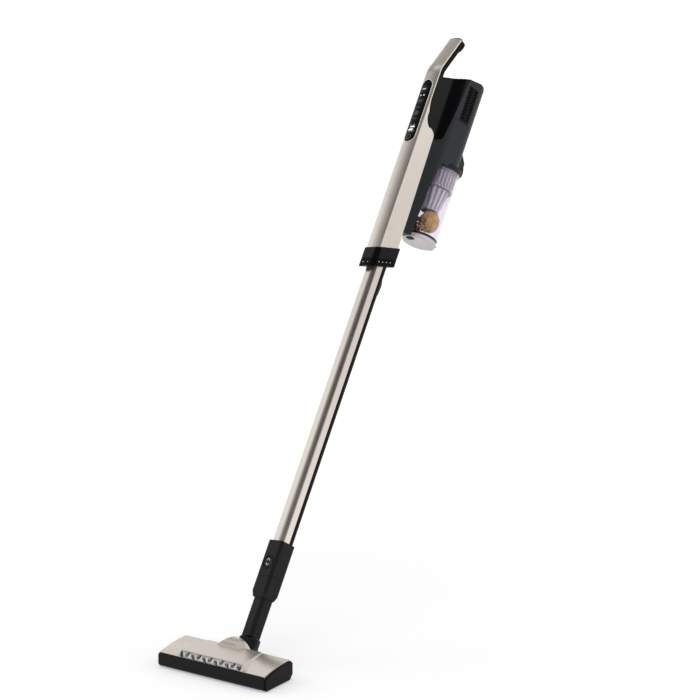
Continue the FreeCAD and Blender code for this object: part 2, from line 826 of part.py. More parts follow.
# ---- wand -----------------------------------------------------------------------------------
def wand_section(shrink=0.0):
    return rounded(wand_width / 2 - shrink, wand_front + shrink, wand_back - shrink,
                   wand_corner - shrink, wand_corner - shrink)


def plug_section(grow=0.0):
    return wand_section(2.6 - grow)


wand_low = connector_top + 0.2
wand_high = collar_z - 0.4


def wand_tube():
    """Full-length shell of the wand, cut off in line with the collar."""
    outer = column(wand_section(), wand_low, collar_z + 30)
    inner = column(wand_section(wand_wall), wand_low - 5, collar_z + 40)
    shell = outer.cut(inner)
    return shell.cut(above(wand_high, collar_slope))


def split_block(front):
    return box(-50, 50, -50, wand_split, 0, 2000) if front else box(-50, 50, wand_split, 50, 0, 2000)


def wand_front_shell():
    return wand_tube().common(split_block(True))


def wand_back_rail():
    rail = wand_tube().common(split_block(False))
    groove = box(-3.0, 3.0, wand_back - 0.9, wand_back + 1, wand_low, wand_high - 60)
    return rail.cut(groove).cut(lever_pocket()).cut(lever_pin())


def wand_lower_plug():
    plug = column(plug_section(), connector_top - plug_depth, connector_top + 20)
    liner = column(plug_section(1.0), connector_top + 0.2, connector_top + 20)
    plug = fuse(plug, liner)
    return plug.cut(column(plug_section(-1.8), 0, 2000))


def wand_upper_plug():
    start = collar_z - 60
    plug = column(plug_section(), start, collar_z + plug_depth)
    liner = column(plug_section(1.0), start, collar_z - 14)
    plug = fuse(plug, liner).cut(column(plug_section(-1.8), 0, 2000))
    recess = lever_pocket(1.5).common(column(plug_section(-0.9), start, collar_z + plug_depth))
    plug = fuse(plug, recess)
    return fuse(plug.cut(lever_pocket()), lever_pin())


def lever_z():
    return collar_z - lever_below


def tongue_top():
    return collar_z + 15.5


def lever_pocket(grow=0.0):
    z = lever_z()
    half = lever_width / 2 + part_gap + grow
    return box(-half, half, wand_back - 6.9 - grow, wand_back + 9, z - 0.5 - grow,
               tongue_top() + 0.8 + grow)


def lever_axis():
    return V(0, wand_back - 1.8, lever_z() + 4.0)


def wand_lever():
    """Release lever on the back of the wand; its tongue reaches up inside the collar."""
    z = lever_z()
    half = lever_width / 2
    y = wand_back
    profile = [(y - 1.0, z), (y + lever_proud - 1.6, z), (y + lever_proud - 0.8, z + 6),
               (y + lever_proud, z + 14), (y + lever_proud, z + lever_length - 9),
               (y + lever_proud - 1.4, z + lever_length - 4), (y + 0.4, z + lever_length),
               (y - 1.8, z + lever_length), (y - 1.8, z + 8)]
    lever = side_prism(profile, half)
    lever = fillet_where(lever, 1.2, lambda m, e: abs(abs(m.x) - half) < 0.01
                         and m.y > y + 1.2 and e.Length > 5)
    c = lever_axis()
    barrel = rod(2.2, V(-half, c.y, c.z), V(half, c.y, c.z))
    tongue_plate = box(-4, 4, y - 1.8, y - 0.4, z + lever_length - 2, tongue_top())
    hook = side_prism([(y - 1.0, tongue_top() - 4), (y + 0.6, tongue_top() - 3),
                       (y - 0.2, tongue_top()), (y - 1.0, tongue_top())], 4)
    lever = fuse(lever, barrel, tongue_plate, hook)
    return lever.cut(rod(1.0 + running_gap, c - V(50, 0, 0), c + V(50, 0, 0)))


def lever_pin():
    c = lever_axis()
    half = lever_width / 2 + part_gap + 1.0
    return rod(1.0, c - V(half, 0, 0), c + V(half, 0, 0))


def wand_conductors():
    """Two flat conductors along the inside of the back rail."""
    y = wand_back - wand_wall
    strip = box(1.2, 4.2, y - 0.8, y, wand_low + 22, collar_z - 66)
    return both(strip)


# ---- collar ---------------------------------------------------------------------------------
def collar_section(shrink=0.0):
    return rounded(collar_half - shrink, collar_front + shrink, collar_back - shrink,
                   collar_corner - shrink, collar_corner - 3 - shrink)


def slanted(shape, low, high):
    """Part of a column between two planes that rise towards the back."""
    return shape.common(above(low, collar_slope)).cut(above(high, collar_slope))


def collar():
    """Slanted black collar: a smooth band over a ribbed one."""
    full = column(collar_section(), collar_z - 40, collar_top + 60)
    neat = column(collar_section(0.9), collar_z - 40, collar_top + 60)
    split = collar_z + collar_split
    smooth = slanted(full, split, collar_top)
    ribbed = slanted(full, collar_z, split - 1.2)
    joint = slanted(neat, split - 2.0, split + 1.0)
    ribbed = ribbed.cut(rib_grooves())
    plug = column(body_section(body_wall + 0.1), collar_z + 20, collar_top + 20)
    plug = plug.cut(above(collar_top + 8.0, collar_slope))
    ring = fuse(smooth, ribbed, joint, plug)
    socket = column(wand_section(-0.35), collar_z - 60, collar_z + plug_depth + 4)
    socket = socket.cut(above(collar_z + 4.0, collar_slope))
    plug_hole = column(plug_section(part_gap), collar_z - 60, collar_z + plug_depth + 1)
    throat = Part.makeCylinder(duct_radius + 0.1, 120, V(0, duct_start_y, collar_z + 10))
    ring = ring.cut(socket).cut(plug_hole).cut(throat)
    hook_slot = box(-lever_width / 2 - 1, lever_width / 2 + 1, wand_back - 4, wand_back + 3.0,
                    collar_z - 40, tongue_top() + 1.5)
    return ring.cut(hook_slot)


def rib_grooves():
    """Upright grooves round the lower band of the collar."""
    cutters = []
    low = collar_z - 40
    high = collar_z + 60
    span = collar_back - collar_front - 16
    for i in range(rib_count):
        y = collar_front + 10 + span * i / (rib_count - 1)
        cutter = box(collar_half - rib_depth, collar_half + 2, y - rib_half, y + rib_half, low, high)
        cutters.append(cutter)
        cutters.append(mirrored(cutter))
    for i in range(rib_count_front):
        x = -11.0 + 22.0 * i / (rib_count_front - 1)
        cutters.append(box(x - rib_half, x + rib_half, collar_front - 2, collar_front + rib_depth,
                           low, high))
    return Part.makeCompound(cutters)


# ---- body shell and handle ------------------------------------------------------------------
def body_section(shrink):
    return bowed(body_half, body_front, body_back_low - 0.6, body_bow, 3.0, shrink)


def bowed_column(shrink, z0, reach=34.0):
    """Body outline carried up the straight front, round the bend and past the handle's end."""
    wire = bowed(body_half, body_front, body_front + reach, body_bow, 1.0, shrink)
    z_bend = collar_top + bend_start
    straight = column(wire, z0, z_bend)
    face = Part.Face(wire)
    face.translate(V(0, 0, z_bend))
    centre = V(0, body_front + bend_radius, z_bend)
    turned = face.revolve(centre, V(-1, 0, 0), bend_angle)
    last = face.copy()
    last.rotate(centre, V(-1, 0, 0), bend_angle)
    turn = radians(bend_angle)
    handle = last.extrude(V(0, sin(turn), cos(turn)) * (handle_length + 52.0))
    return straight.fuse([turned, handle])


def bend_edges(offset, z_start, length):
    """Line, arc, line: the front of the body and handle, moved back by offset."""
    turn = radians(bend_angle)
    z_bend = collar_top + bend_start
    centre = V(0, body_front + bend_radius, z_bend)
    radius = bend_radius - offset
    start = V(0, body_front + offset, z_start)
    first = centre + V(0, -radius, 0)
    middle = centre + V(0, -radius * cos(turn / 2), radius * sin(turn / 2))
    last = centre + V(0, -radius * cos(turn), radius * sin(turn))
    end = last + V(0, sin(turn), cos(turn)) * length
    line = Part.makeLine(start, first)
    arc = Part.Arc(first, middle, last).toShape()
    rest = Part.makeLine(last, end)
    return [line, arc, rest], start, end


def sides_top():
    return collar_top + gold_top


def back_edge(z):
    """Back edge of the gold sides at height z."""
    share = (z - collar_top) / (gold_top - 5.0)
    return body_back_low + (body_back_high - body_back_low) * share


def gold_curve(inset):
    """Upper edge of the gold sides, from the front band down to their back edge."""
    top = sides_top()
    y0 = body_front + band_depth
    y1 = body_back_high - inset
    first = Part.Arc(V(0, y0, top + 34 - inset), V(0, y0 + 3.2, top + 18 - inset),
                     V(0, y0 + 11.5, top + 9.5 - inset)).toShape()
    second = Part.Arc(V(0, y0 + 11.5, top + 9.5 - inset), V(0, y1 - 3.5, top + 5.0 - inset),
                      V(0, y1, top - 5.0 - inset)).toShape()
    return [first, second], V(0, y0, top + 34 - inset), V(0, y1, top - 5.0 - inset)


def shell_outline(inset, length, top_band):
    """Side outline of the gold shell."""
    z_low = collar_top - 30
    front, start, tip = bend_edges(inset, z_low, length)
    rear, rear_start, rear_tip = bend_edges(top_band, sides_top() + 34, length)
    curve, curve_start, curve_end = gold_curve(inset)
    foot = V(0, back_edge(z_low) - inset, z_low)
    edges = front + [Part.makeLine(tip, rear_tip)] + rear
    if (rear_start - curve_start).Length > 0.001:
        edges.append(Part.makeLine(rear_start, curve_start))
    edges += curve + [Part.makeLine(curve_end, foot), Part.makeLine(foot, start)]
    return Part.Wire(Part.__sortEdges__(edges))


def behind_front(point):
    """Distance of a point behind the front face of body and handle."""
    z_bend = collar_top + bend_start
    if point.z < z_bend:
        return point.y - body_front
    turn = radians(bend_angle)
    dy = point.y - (body_front + bend_radius)
    dz = point.z - z_bend
    if atan2(dz, -dy) < turn:
        return bend_radius - sqrt(dy * dy + dz * dz)
    return bend_radius - (-dy * cos(turn) + dz * sin(turn))


def shell_solid(inset, length, band):
    half = body_half + 5.0
    face = Part.Face(shell_outline(inset, length, band))
    face.translate(V(-half, 0, 0))
    solid = face.extrude(V(2 * half, 0, 0))
    return solid.common(bowed_column(inset, collar_top - 60, reach=60.0))


def body_shell():
    """Gold front shell from the collar to the tip of the handle, in one piece."""
    outer = shell_solid(0.0, handle_length, band_depth)
    inner = shell_solid(body_wall, handle_length - body_wall, band_depth + 0.001)
    open_back = box(-body_half + body_wall, body_half - body_wall, body_front + 12, 80,
                    collar_top + spine_bottom + 6, sides_top() + 60)
    shell = outer.cut(inner).cut(open_back)
    shell = shell.common(above(collar_top + 0.05, collar_slope))
    return shell.cut(panel_pocket()).cut(duct_solid(duct_radius + 0.3))


def handle_grip():
    """Soft underside of the handle, with the cap over its tip."""
    z_start = collar_top + housing_top_front + 1.0
    inner_edges, a0, a1 = bend_edges(band_depth, z_start, handle_length)
    outer_edges, b0, b1 = bend_edges(band_depth + grip_depth, z_start, handle_length - 4)
    turn = radians(bend_angle)
    along = V(0, sin(turn), cos(turn))
    across = V(0, cos(turn), -sin(turn))
    front_tip = a1 - across * band_depth
    cap_front = front_tip + along * tip_cap
    cap_back = b1 + along * (4 + tip_cap * 0.3) + across * 2.2
    bulge = b1 - along * 12 + across * 2.6
    cap_edge = cap_front + across
    edges = inner_edges + [Part.makeLine(a1, front_tip), Part.makeLine(front_tip, cap_edge),
                           Part.makeLine(cap_edge, cap_back),
                           Part.Arc(cap_back, bulge + along * 3, b1 - along * 18).toShape()]
    outer_edges[2] = Part.makeLine(outer_edges[2].Vertexes[0].Point, b1 - along * 18)
    edges += outer_edges + [Part.makeLine(b0, a0)]
    half = body_half - 0.6
    face = Part.Face(Part.Wire(Part.__sortEdges__(edges)))
    face.translate(V(-half, 0, 0))
    solid = face.extrude(V(2 * half, 0, 0))

    def on_back(middle, edge):
        deep = behind_front(middle)
        return abs(abs(middle.x) - half) < 0.01 and deep > band_depth + 4 and edge.Length > 5
    solid = fillet_where(solid, 3.0, on_back)
    return solid.common(bowed_column(0.3, z_start - 20))


# ---- control panel --------------------------------------------------------------------------
def panel_outline(grow=0.0):
    """Long strip with round ends, drawn at y = 0 in the x-z plane."""
    radius = panel_half + grow
    low = collar_top + panel_bottom + panel_half
    high = collar_top + panel_top - panel_half
    right = Part.makeLine(V(radius, 0, low), V(radius, 0, high))
    left = Part.makeLine(V(-radius, 0, low), V(-radius, 0, high))
    top = Part.Arc(V(radius, 0, high), V(0, 0, high + radius), V(-radius, 0, high)).toShape()
    end = Part.Arc(V(radius, 0, low), V(0, 0, low - radius), V(-radius, 0, low)).toShape()
    return Part.Wire(Part.__sortEdges__([right, left, top, end]))


def panel_pocket():
    face = Part.Face(panel_outline(0.1))
    face.translate(V(0, body_front - 5, 0))
    block = face.extrude(V(0, 12 + panel_thickness, 0))
    return block.cut(column(body_section(panel_thickness), collar_top, collar_top + 352))


BUTTONS = (("button_high", 313.8), ("button_standard", 288.5), ("button_off", 263.5))
KEY_HEIGHTS = [height for name, height in BUTTONS]
key_half_width = 8.0
key_half_height = 5.6
lamp_z = 232.0


def key_solid(z, grow, y0, y1):
    """Push key with round ends."""
    radius = key_half_height + grow
    reach = key_half_width - key_half_height
    z = collar_top + z
    right = Part.Arc(V(reach, 0, z - radius), V(reach + radius, 0, z),
                     V(reach, 0, z + radius)).toShape()
    left = Part.Arc(V(-reach, 0, z - radius), V(-reach - radius, 0, z),
                    V(-reach, 0, z + radius)).toShape()
    top = Part.makeLine(V(-reach, 0, z + radius), V(reach, 0, z + radius))
    low = Part.makeLine(V(-reach, 0, z - radius), V(reach, 0, z - radius))
    face = Part.Face(Part.Wire(Part.__sortEdges__([right, left, top, low])))
    face.translate(V(0, y0, 0))
    return face.extrude(V(0, y1 - y0, 0))


def control_panel():
    face = Part.Face(panel_outline())
    face.translate(V(0, body_front - 8, 0))
    strip = face.extrude(V(0, 20, 0)).common(panel_skin(-panel_proud, panel_thickness))
    edge = Part.Face(panel_outline(-0.8))
    edge.translate(V(0, body_front - 8, 0))
    core = edge.extrude(V(0, 20, 0))
    step = panel_skin(-panel_proud - 1, -panel_proud + 0.5).cut(core)
    strip = strip.cut(step)
    for z in KEY_HEIGHTS:
        strip = strip.cut(key_solid(z, 0.35, body_front - 5, body_front + 10))
    return strip.cut(lamp_window_solid())


def panel_skin(outside, inside):
    """Layer of the front face between two depths below it."""
    z0 = collar_top + 180
    z1 = collar_top + 351
    skin = column(body_section(outside), z0, z1).cut(column(body_section(inside), z0 - 1, z1 + 1))
    return skin.common(box(-16, 16, body_front - 9, 0, z0, z1))


def lamp_window_solid():
    z = collar_top + lamp_z
    return box(-8, 8, body_front - panel_proud - 2, body_front + 8, z - 9, z + 9)


def lamp_window():
    return lamp_window_solid().common(panel_skin(-panel_proud + 0.1, -panel_proud + 1.5))


def push_key(z):
    y = body_front - panel_proud
    key = key_solid(z, 0.0, y - 3.0, y + key_depth)
    low = key_solid(z, 0.0, y - 0.1, y + key_depth)
    cap = key_solid(z, -0.7, y - 3.0, y + key_depth).common(panel_skin(-panel_proud - 0.8, 0.5))
    return fuse(key.common(panel_skin(-panel_proud - 0.3, 0.6)), cap, low)


def panel_board():
    """Board under the panel, with one switch under each key."""
    switch_face = body_front - panel_proud + key_depth + switch_travel + 0.2
    y = switch_face + 2.5
    board = box(-10, 10, y, y + 1.4, collar_top + panel_bottom + 20, collar_top + panel_top - 12)
    switches = [box(-3, 3, switch_face, y, collar_top + z - 3, collar_top + z + 3)
                for z in KEY_HEIGHTS]
    lamps = [box(x - 1.2, x + 1.2, y - 0.8, y, collar_top + lamp_z - 1.2, collar_top + lamp_z + 1.2)
             for x in (-5, 0, 5)]
    return fuse(board, *(switches + lamps))


# ---- rear housing ---------------------------------------------------------------------------
def flared_section(front, half_front, half_wide, y_flare0, y_flare1, back, corner):
    """Plan outline that widens from the body to the full housing."""
    k = sqrt(0.5)
    points = [V(-half_front, front, 0), V(half_front, front, 0)]
    edges = [Part.makeLine(points[0], points[1])]
    edges.append(Part.makeLine(points[1], V(half_front, y_flare0, 0)))
    flare = Part.BSplineCurve()
    rise = half_wide - half_front
    run = y_flare1 - y_flare0
    flare.interpolate([V(half_front, y_flare0, 0), V(half_front + rise * 0.5, y_flare0 + run * 0.45, 0),
                       V(half_wide, y_flare1, 0)], InitialTangent=V(0, 1, 0), FinalTangent=V(0, 1, 0))
    edges.append(flare.toShape())
    edges.append(Part.makeLine(V(half_wide, y_flare1, 0), V(half_wide, back - corner, 0)))
    c = V(half_wide - corner, back - corner, 0)
    edges.append(Part.Arc(V(half_wide, back - corner, 0), c + V(corner * k, corner * k, 0),
                          V(half_wide - corner, back, 0)).toShape())
    half = edges[1:]
    other = [e.mirror(V(0, 0, 0), X_AXIS) for e in half]
    edges = [edges[0]] + half + other
    edges.append(Part.makeLine(V(half_wide - corner, back, 0), V(-half_wide + corner, back, 0)))
    return Part.Wire(Part.__sortEdges__(edges))


def housing_column(shrink, z0, z1):
    wire = flared_section(body_front + band_depth + shrink, spine_half_low - shrink,
                          housing_half - shrink, 12.0, 42.0, housing_back - shrink,
                          housing_corner - shrink)
    return column(wire, z0, z1)


def top_outline(drop=0.0):
    """Side outline of the housing under its sloping top."""
    top_front = collar_top + housing_top_front - drop
    top_mid = collar_top + housing_top_mid - drop
    top_back = collar_top + housing_top_back - drop
    return [(-60, top_front - 14), (-14, top_front - 2), (45, top_mid), (74, top_back),
            (86, top_back - 2), (94, top_back - 8), (housing_back - drop + 1, top_back - 22),
            (housing_back - drop + 1, 0), (-60, 0)]


def glossy_side(grow=0.0):
    """Side outline of the glossy core in front of the slanted seam."""
    z0 = collar_top
    return [(-60, z0 + 700), (56, z0 + 430), (44.5 + grow, z0 + 367), (30.0 + grow, z0 + 244),
            (28.6 + grow, z0 + 238.5), (25.6 + grow, z0 + 235.4),
            (body_back_high + grow, z0 + gold_top - 6), (-60, z0 + gold_top - 6)]


def housing_inside(front_wall):
    """Hollow under the walls and the top of the core and the motor housing."""
    inside = housing_column(housing_wall, housing_floor(), skyline)
    inside = inside.common(side_prism(top_outline(housing_wall), wide))
    return inside.cut(box(-wide, wide, -wide, front_wall, 0, 2000))


def housing_floor():
    return cup_top + part_gap + ring_height + 3.0


def upper_core():
    """Glossy core between the handle and the motor housing, open to both below and behind."""
    block = housing_column(0.0, collar_top + gold_top - 20, skyline)
    block = block.common(side_prism(top_outline(), wide))
    block = block.common(side_prism(glossy_side(), wide))
    block = block.cut(shell_solid(0.0, handle_length, band_depth))
    return block.cut(housing_inside(body_front + band_depth + 2.4))


def spine():
    """Lower part of the rear housing, between the gold shell and the cup."""
    wire = flared_section(body_front + band_depth, spine_half_low, housing_half, 12.0, 42.0, 60.0, 8.0)
    low = collar_top + spine_bottom
    block = column(wire, low, collar_top + gold_top + 8)
    high = sides_top() - 5.0
    side = [(back_edge(low) + 0.05, low), (30.0, low), (31.5, low + 40),
            (34.5, cup_top - 50), (38.0, cup_top - 22), (45.0, cup_top), (46.0, cup_top + 60),
            (body_back_high + 0.05, cup_top + 60), (body_back_high + 0.05, high)]
    return block.common(side_prism(side, 60))


def cup_clearance():
    return Part.makeCylinder(cup_radius + 0.9, 400, V(0, cup_axis, cup_top + part_gap - 400))


def cup_ring():
    """Ring round the cup's mouth, with two grooves."""
    low = cup_top + part_gap
    ring = Part.makeCylinder(ring_radius, ring_height, V(0, cup_axis, low))
    for z in (low + 2.4, low + 6.0):
        groove = Part.makeCylinder(ring_radius + 2, 1.2, V(0, cup_axis, z))
        ring = ring.cut(groove.cut(Part.makeCylinder(ring_radius - 1.0, 3, V(0, cup_axis, z - 1))))
    return ring


def motor_tube_radius():
    return housing_half - housing_wall - 2.4


def motor_tube():
    """Tube inside the housing that carries the motor's rubber rings and the exhaust filter."""
    high = motor_base() + motor_length + 22.0
    return Part.makeCylinder(motor_tube_radius() + 2.6, high - housing_floor() + 1,
                             V(0, motor_axis, housing_floor() - 1))


def motor_cavity():
    return Part.makeCylinder(motor_tube_radius(), 200, V(0, motor_axis, housing_floor()))


def vent_zone(side):
    """Recess for the vent plate on one side."""
    z = collar_top + housing_top_mid
    plate = box(housing_half - 1.8, housing_half + 5, vent_front, vent_back, z - vent_below, z - 10)
    return plate if side > 0 else mirrored(plate)


def latch_place():
    return cup_top + latch_above


def latch_boss():
    z = latch_place()
    y = housing_back
    side = [(y - 8, z - 9), (y + 9, z - 9), (y + 14, z - 5), (y + 15, z + 8), (y + 13.5, z + 24),
            (y + 5, z + 34), (y - 8, z + 38)]
    boss = side_prism(side, 15)
    return fillet_where(boss, 3.5, lambda m, e: abs(abs(m.x) - 15) < 0.01 and m.y > y + 2)


def latch_hole():
    z = latch_place()
    half = latch_half + part_gap
    return box(-half, half, housing_back + 1.6, housing_back + 30, z - 3.4, z + 22.4)


def rear_housing():
    """Spine, motor housing and cup ring in one moulding."""
    upper = housing_column(0.0, cup_top + part_gap, skyline)
    upper = upper.common(side_prism(top_outline(), wide))
    trunk = upper.cut(side_prism(glossy_side(), wide))
    low = cup_top - 50.0
    high = sides_top() - 5.0
    front = side_prism([(-90, low), (back_edge(low) + 0.05, low), (body_back_high + 0.05, high),
                        (body_back_high + 0.05, high + 300), (-90, high + 300)], wide)
    trunk = trunk.cut(front)
    body = fuse(trunk, spine(), cup_ring(), latch_boss())
    body = body.cut(side_prism(glossy_side(), wide))
    body = body.cut(housing_inside(body_back_high))
    body = fuse(body, motor_tube())
    body = body.cut(cup_clearance())
    body = body.cut(latch_hole())
    inner_bore = motor_cavity().common(side_prism(top_outline(housing_wall), wide))
    body = body.cut(inner_bore)
    throat = Part.makeCylinder(22.0, 40, V(0, cup_axis - 3, cup_top - 10))
    body = body.cut(throat)
    body = body.cut(vent_zone(1)).cut(vent_zone(-1))
    body = body.cut(vent_slots())
    body = body.cut(seam_groove())
    return body.cut(duct_solid(duct_radius + 0.3))


def seam_groove():
    """Parting line round the motor housing."""
    z = collar_top + housing_top_mid - vent_below - 2.5
    outer = housing_column(-1.0, z, z + 1.0)
    inner = housing_column(0.7, z - 1, z + 2)
    ring = outer.cut(inner)
    ring = ring.cut(side_prism(glossy_side(1.0), wide))
    return ring.cut(box(-wide, wide, -wide, 30, 0, 2000))


def vent_slots():
    """Two columns of slots through each side wall."""
    cutters = []
    z_high = collar_top + housing_top_mid - 15
    for row in range(vent_rows):
        z = z_high - vent_pitch * row
        for y in (vent_front + 6.0, vent_back - 6.0):
            cutters.append(box(-wide, wide, y - 3.6, y + 3.6, z - 1.5, z + 1.5))
    return Part.makeCompound(cutters)


def vent_plate(side):
    z = collar_top + housing_top_mid
    plate = box(housing_half - 1.8, housing_half + 0.3, vent_front + 0.1, vent_back - 0.1,
                z - vent_below + 0.1, z - 10.1)
    plate = plate.makeFillet(0.8, [e for e in plate.Edges
                                   if abs(e.CenterOfMass.x - (housing_half + 0.3)) < 0.01])
    plate = plate.cut(vent_slots())
    return plate if side > 0 else mirrored(plate)


# ---- motor ----------------------------------------------------------------------------------
def motor_base():
    return cup_top + ring_height + 24.0


def motor_can():
    z = motor_base()
    can = Part.makeCylinder(motor_radius, motor_length, V(0, motor_axis, z))
    bore = Part.makeCylinder(motor_radius - 3, motor_length - 4, V(0, motor_axis, z + 2))
    shaft = Part.makeCylinder(2.5 + running_gap, 200, V(0, motor_axis, z - 50))
    windows = []
    for turn in range(0, 360, 60):
        cutter = box(-4, 4, motor_radius - 6, motor_radius + 2, z + 8, z + motor_length - 8)
        cutter.rotate(V(0, 0, 0), Z_AXIS, turn)
        cutter.translate(V(0, motor_axis, 0))
        windows.append(cutter)
    return can.cut(bore).cut(shaft).cut(Part.makeCompound(windows))


def motor_rotor():
    z = motor_base()
    core = Part.makeCylinder(12, motor_length - 12, V(0, motor_axis, z + 6))
    shaft = Part.makeCylinder(2.5, motor_length + 18, V(0, motor_axis, z - 16))
    return fuse(core, shaft)


def fan_wheel():
    """Centrifugal fan with curved blades between a disc and the inlet ring."""
    z = motor_base() - 14
    disc = Part.makeCylinder(fan_radius, 1.4, V(0, motor_axis, z + 8.6))
    hub = Part.makeCylinder(5.0, 10.0, V(0, motor_axis, z))
    blades = []
    for i in range(9):
        arc_out = Part.makeCylinder(16, 8.6, V(9, 14.0, z))
        arc_in = Part.makeCylinder(15, 8.8, V(9, 14.0, z - 0.1))
        blade = arc_out.cut(arc_in)
        ring = Part.makeCylinder(fan_radius - 0.2, 8.6, V(0, 0, z))
        ring = ring.cut(Part.makeCylinder(4.5, 9, V(0, 0, z - 0.1)))
        blade = blade.common(ring).common(box(-40, 9, -40, 40, z - 1, z + 20))
        blade.rotate(V(0, 0, 0), Z_AXIS, 40.0 * i)
        blade.translate(V(0, motor_axis, 0))
        blades.append(blade)
    bore = Part.makeCylinder(2.5, 40, V(0, motor_axis, z - 10))
    return fuse(hub, disc, *blades).cut(bore)


def motor_mounts():
    """Rubber rings that carry the motor in the housing."""
    outer = motor_tube_radius()
    rings = []
    for z in (motor_base() + 3, motor_base() + motor_length - 9):
        ring = Part.makeCylinder(outer, 6, V(0, motor_axis, z))
        rings.append(ring.cut(Part.makeCylinder(motor_radius, 8, V(0, motor_axis, z - 1))))
    return Part.makeCompound(rings)


def motor_board():
    z = motor_base() + motor_length + 2.0
    board = Part.makeCylinder(20, 1.6, V(0, motor_axis, z))
    posts = [Part.makeCylinder(2, 2.0, V(12 * cos(t), motor_axis + 12 * sin(t), z - 2.0))
             for t in (0.5, 2.6, 4.7)]
    return fuse(board, *posts)


def exhaust_filter():
    z = motor_base() + motor_length + 10.0
    return Part.makeCylinder(motor_tube_radius(), 12, V(0, motor_axis, z))


# ---- duct -----------------------------------------------------------------------------------
duct_start_y = 5.0
duct_end_y = cup_axis - cup_radius - 1.0
duct_offset = 18.2
duct_rise = 46.0
duct_bend = 11.5


def duct_path():
    y0 = duct_start_y
    y1 = duct_start_y + duct_offset
    z0 = collar_z + 42.0
    z1 = z0 + 32.0
    z2 = z1 + duct_rise
    z3 = z2 + 24.0
    half_turn = atan2(duct_offset, duct_rise)
    turn = 2 * half_turn
    radius = duct_rise / (2 * sin(turn))
    c0 = V(0, y0 + radius, z1)
    c1 = V(0, y1 - radius, z2)
    middle = V(0, (y0 + y1) / 2, (z1 + z2) / 2)
    m0 = c0 + V(0, -radius * cos(turn / 2), radius * sin(turn / 2))
    m1 = c1 + V(0, radius * cos(turn / 2), -radius * sin(turn / 2))
    edges = [Part.makeLine(V(0, y0, z0), V(0, y0, z1)),
             Part.Arc(V(0, y0, z1), m0, middle).toShape(),
             Part.Arc(middle, m1, V(0, y1, z2)).toShape(),
             Part.makeLine(V(0, y1, z2), V(0, y1, z3))]
    b = duct_bend
    k = sqrt(0.5)
    edges.append(Part.Arc(V(0, y1, z3), V(0, y1 + b - b * k, z3 + b * k),
                          V(0, y1 + b, z3 + b)).toShape())
    edges.append(Part.makeLine(V(0, y1 + b, z3 + b), V(0, duct_end_y + 0.01, z3 + b)))
    return Part.Wire(edges), V(0, y0, z0), V(0, duct_end_y, z3 + b)


def duct_solid(radius):
    path, start = duct_path()[:2]
    circle = Part.Wire(Part.makeCircle(radius, start, Z_AXIS))
    return path.makePipeShell([circle], True, False)


def inlet_duct():
    return duct_solid(duct_radius).cut(duct_solid(duct_radius - duct_wall))


# ---- battery --------------------------------------------------------------------------------
def battery_places():
    front = body_front + body_wall + cell_radius + 1.7
    back = front + 2 * cell_radius + 0.4
    low = collar_top + 22.0
    pitch = cell_length + 2.0
    places = [(front, low + pitch * i) for i in range(3)]
    return places + [(back, low + pitch * 1.12 + pitch * i) for i in range(2)]


def battery_cells():
    return Part.makeCompound([Part.makeCylinder(cell_radius, cell_length, V(0, y, z))
                              for y, z in battery_places()])


def battery_frame():
    """End plates that hold the cells apart."""
    front = battery_places()[:3]
    back = battery_places()[3:]
    half = body_half - body_wall - 0.3
    plates = []
    for y, z in front + [(front[0][0], front[-1][1] + cell_length + 2.0)]:
        plates.append(box(-half, half, y - cell_radius, y + cell_radius, z - 1.9, z - 0.1))
    for y, z in back:
        plates.append(box(-half, half, y - cell_radius + 0.2, y + cell_radius - 1.2, z - 1.9,
                          z - 0.1))
    inside = column(body_section(body_wall + 0.15), collar_top - 20, sides_top() + 40)
    return Part.makeCompound(plates).common(inside)


# ---- dust cup -------------------------------------------------------------------------------
def cup_body():
    """Clear cup with its rim and the hinge lugs at the back of its lower end."""
    low = cup_z + lid_thickness + 0.1
    wall = Part.makeCylinder(cup_radius, cup_top - low, V(0, cup_axis, low))
    wall = wall.cut(Part.makeCylinder(cup_radius - cup_wall, cup_length + 5, V(0, cup_axis, low - 1)))
    rim = Part.makeCylinder(cup_radius + 0.8, 4.0, V(0, cup_axis, cup_top - 4.0))
    rim = rim.cut(Part.makeCylinder(cup_radius - cup_wall, 10, V(0, cup_axis, cup_top - 8)))
    lug = hinge_lug(4.2, 7.6)
    body = fuse(wall, rim, lug, mirrored(lug))
    end = duct_path()[2]
    port = rod(duct_radius, end - V(0, 6, 0), end + V(0, 16, 0))
    pin = rod(1.5 + running_gap, V(-20, hinge_y(), hinge_z()), V(20, hinge_y(), hinge_z()))
    return body.cut(port).cut(pin)


def hinge_y():
    return cup_axis + cup_radius + 3.2


def hinge_z():
    return cup_z + lid_thickness + 2.5


def hinge_lug(x0, x1):
    knuckle = rod(3.0, V(x0, hinge_y(), hinge_z()), V(x1, hinge_y(), hinge_z()))
    arm = box(x0, x1, cup_axis + cup_radius - 1.4, hinge_y(), hinge_z() - 2.4, hinge_z() + 3.0)
    cut = Part.makeCylinder(cup_radius - 0.6, 60, V(0, cup_axis, hinge_z() - 30))
    return fuse(knuckle, arm.cut(cut))


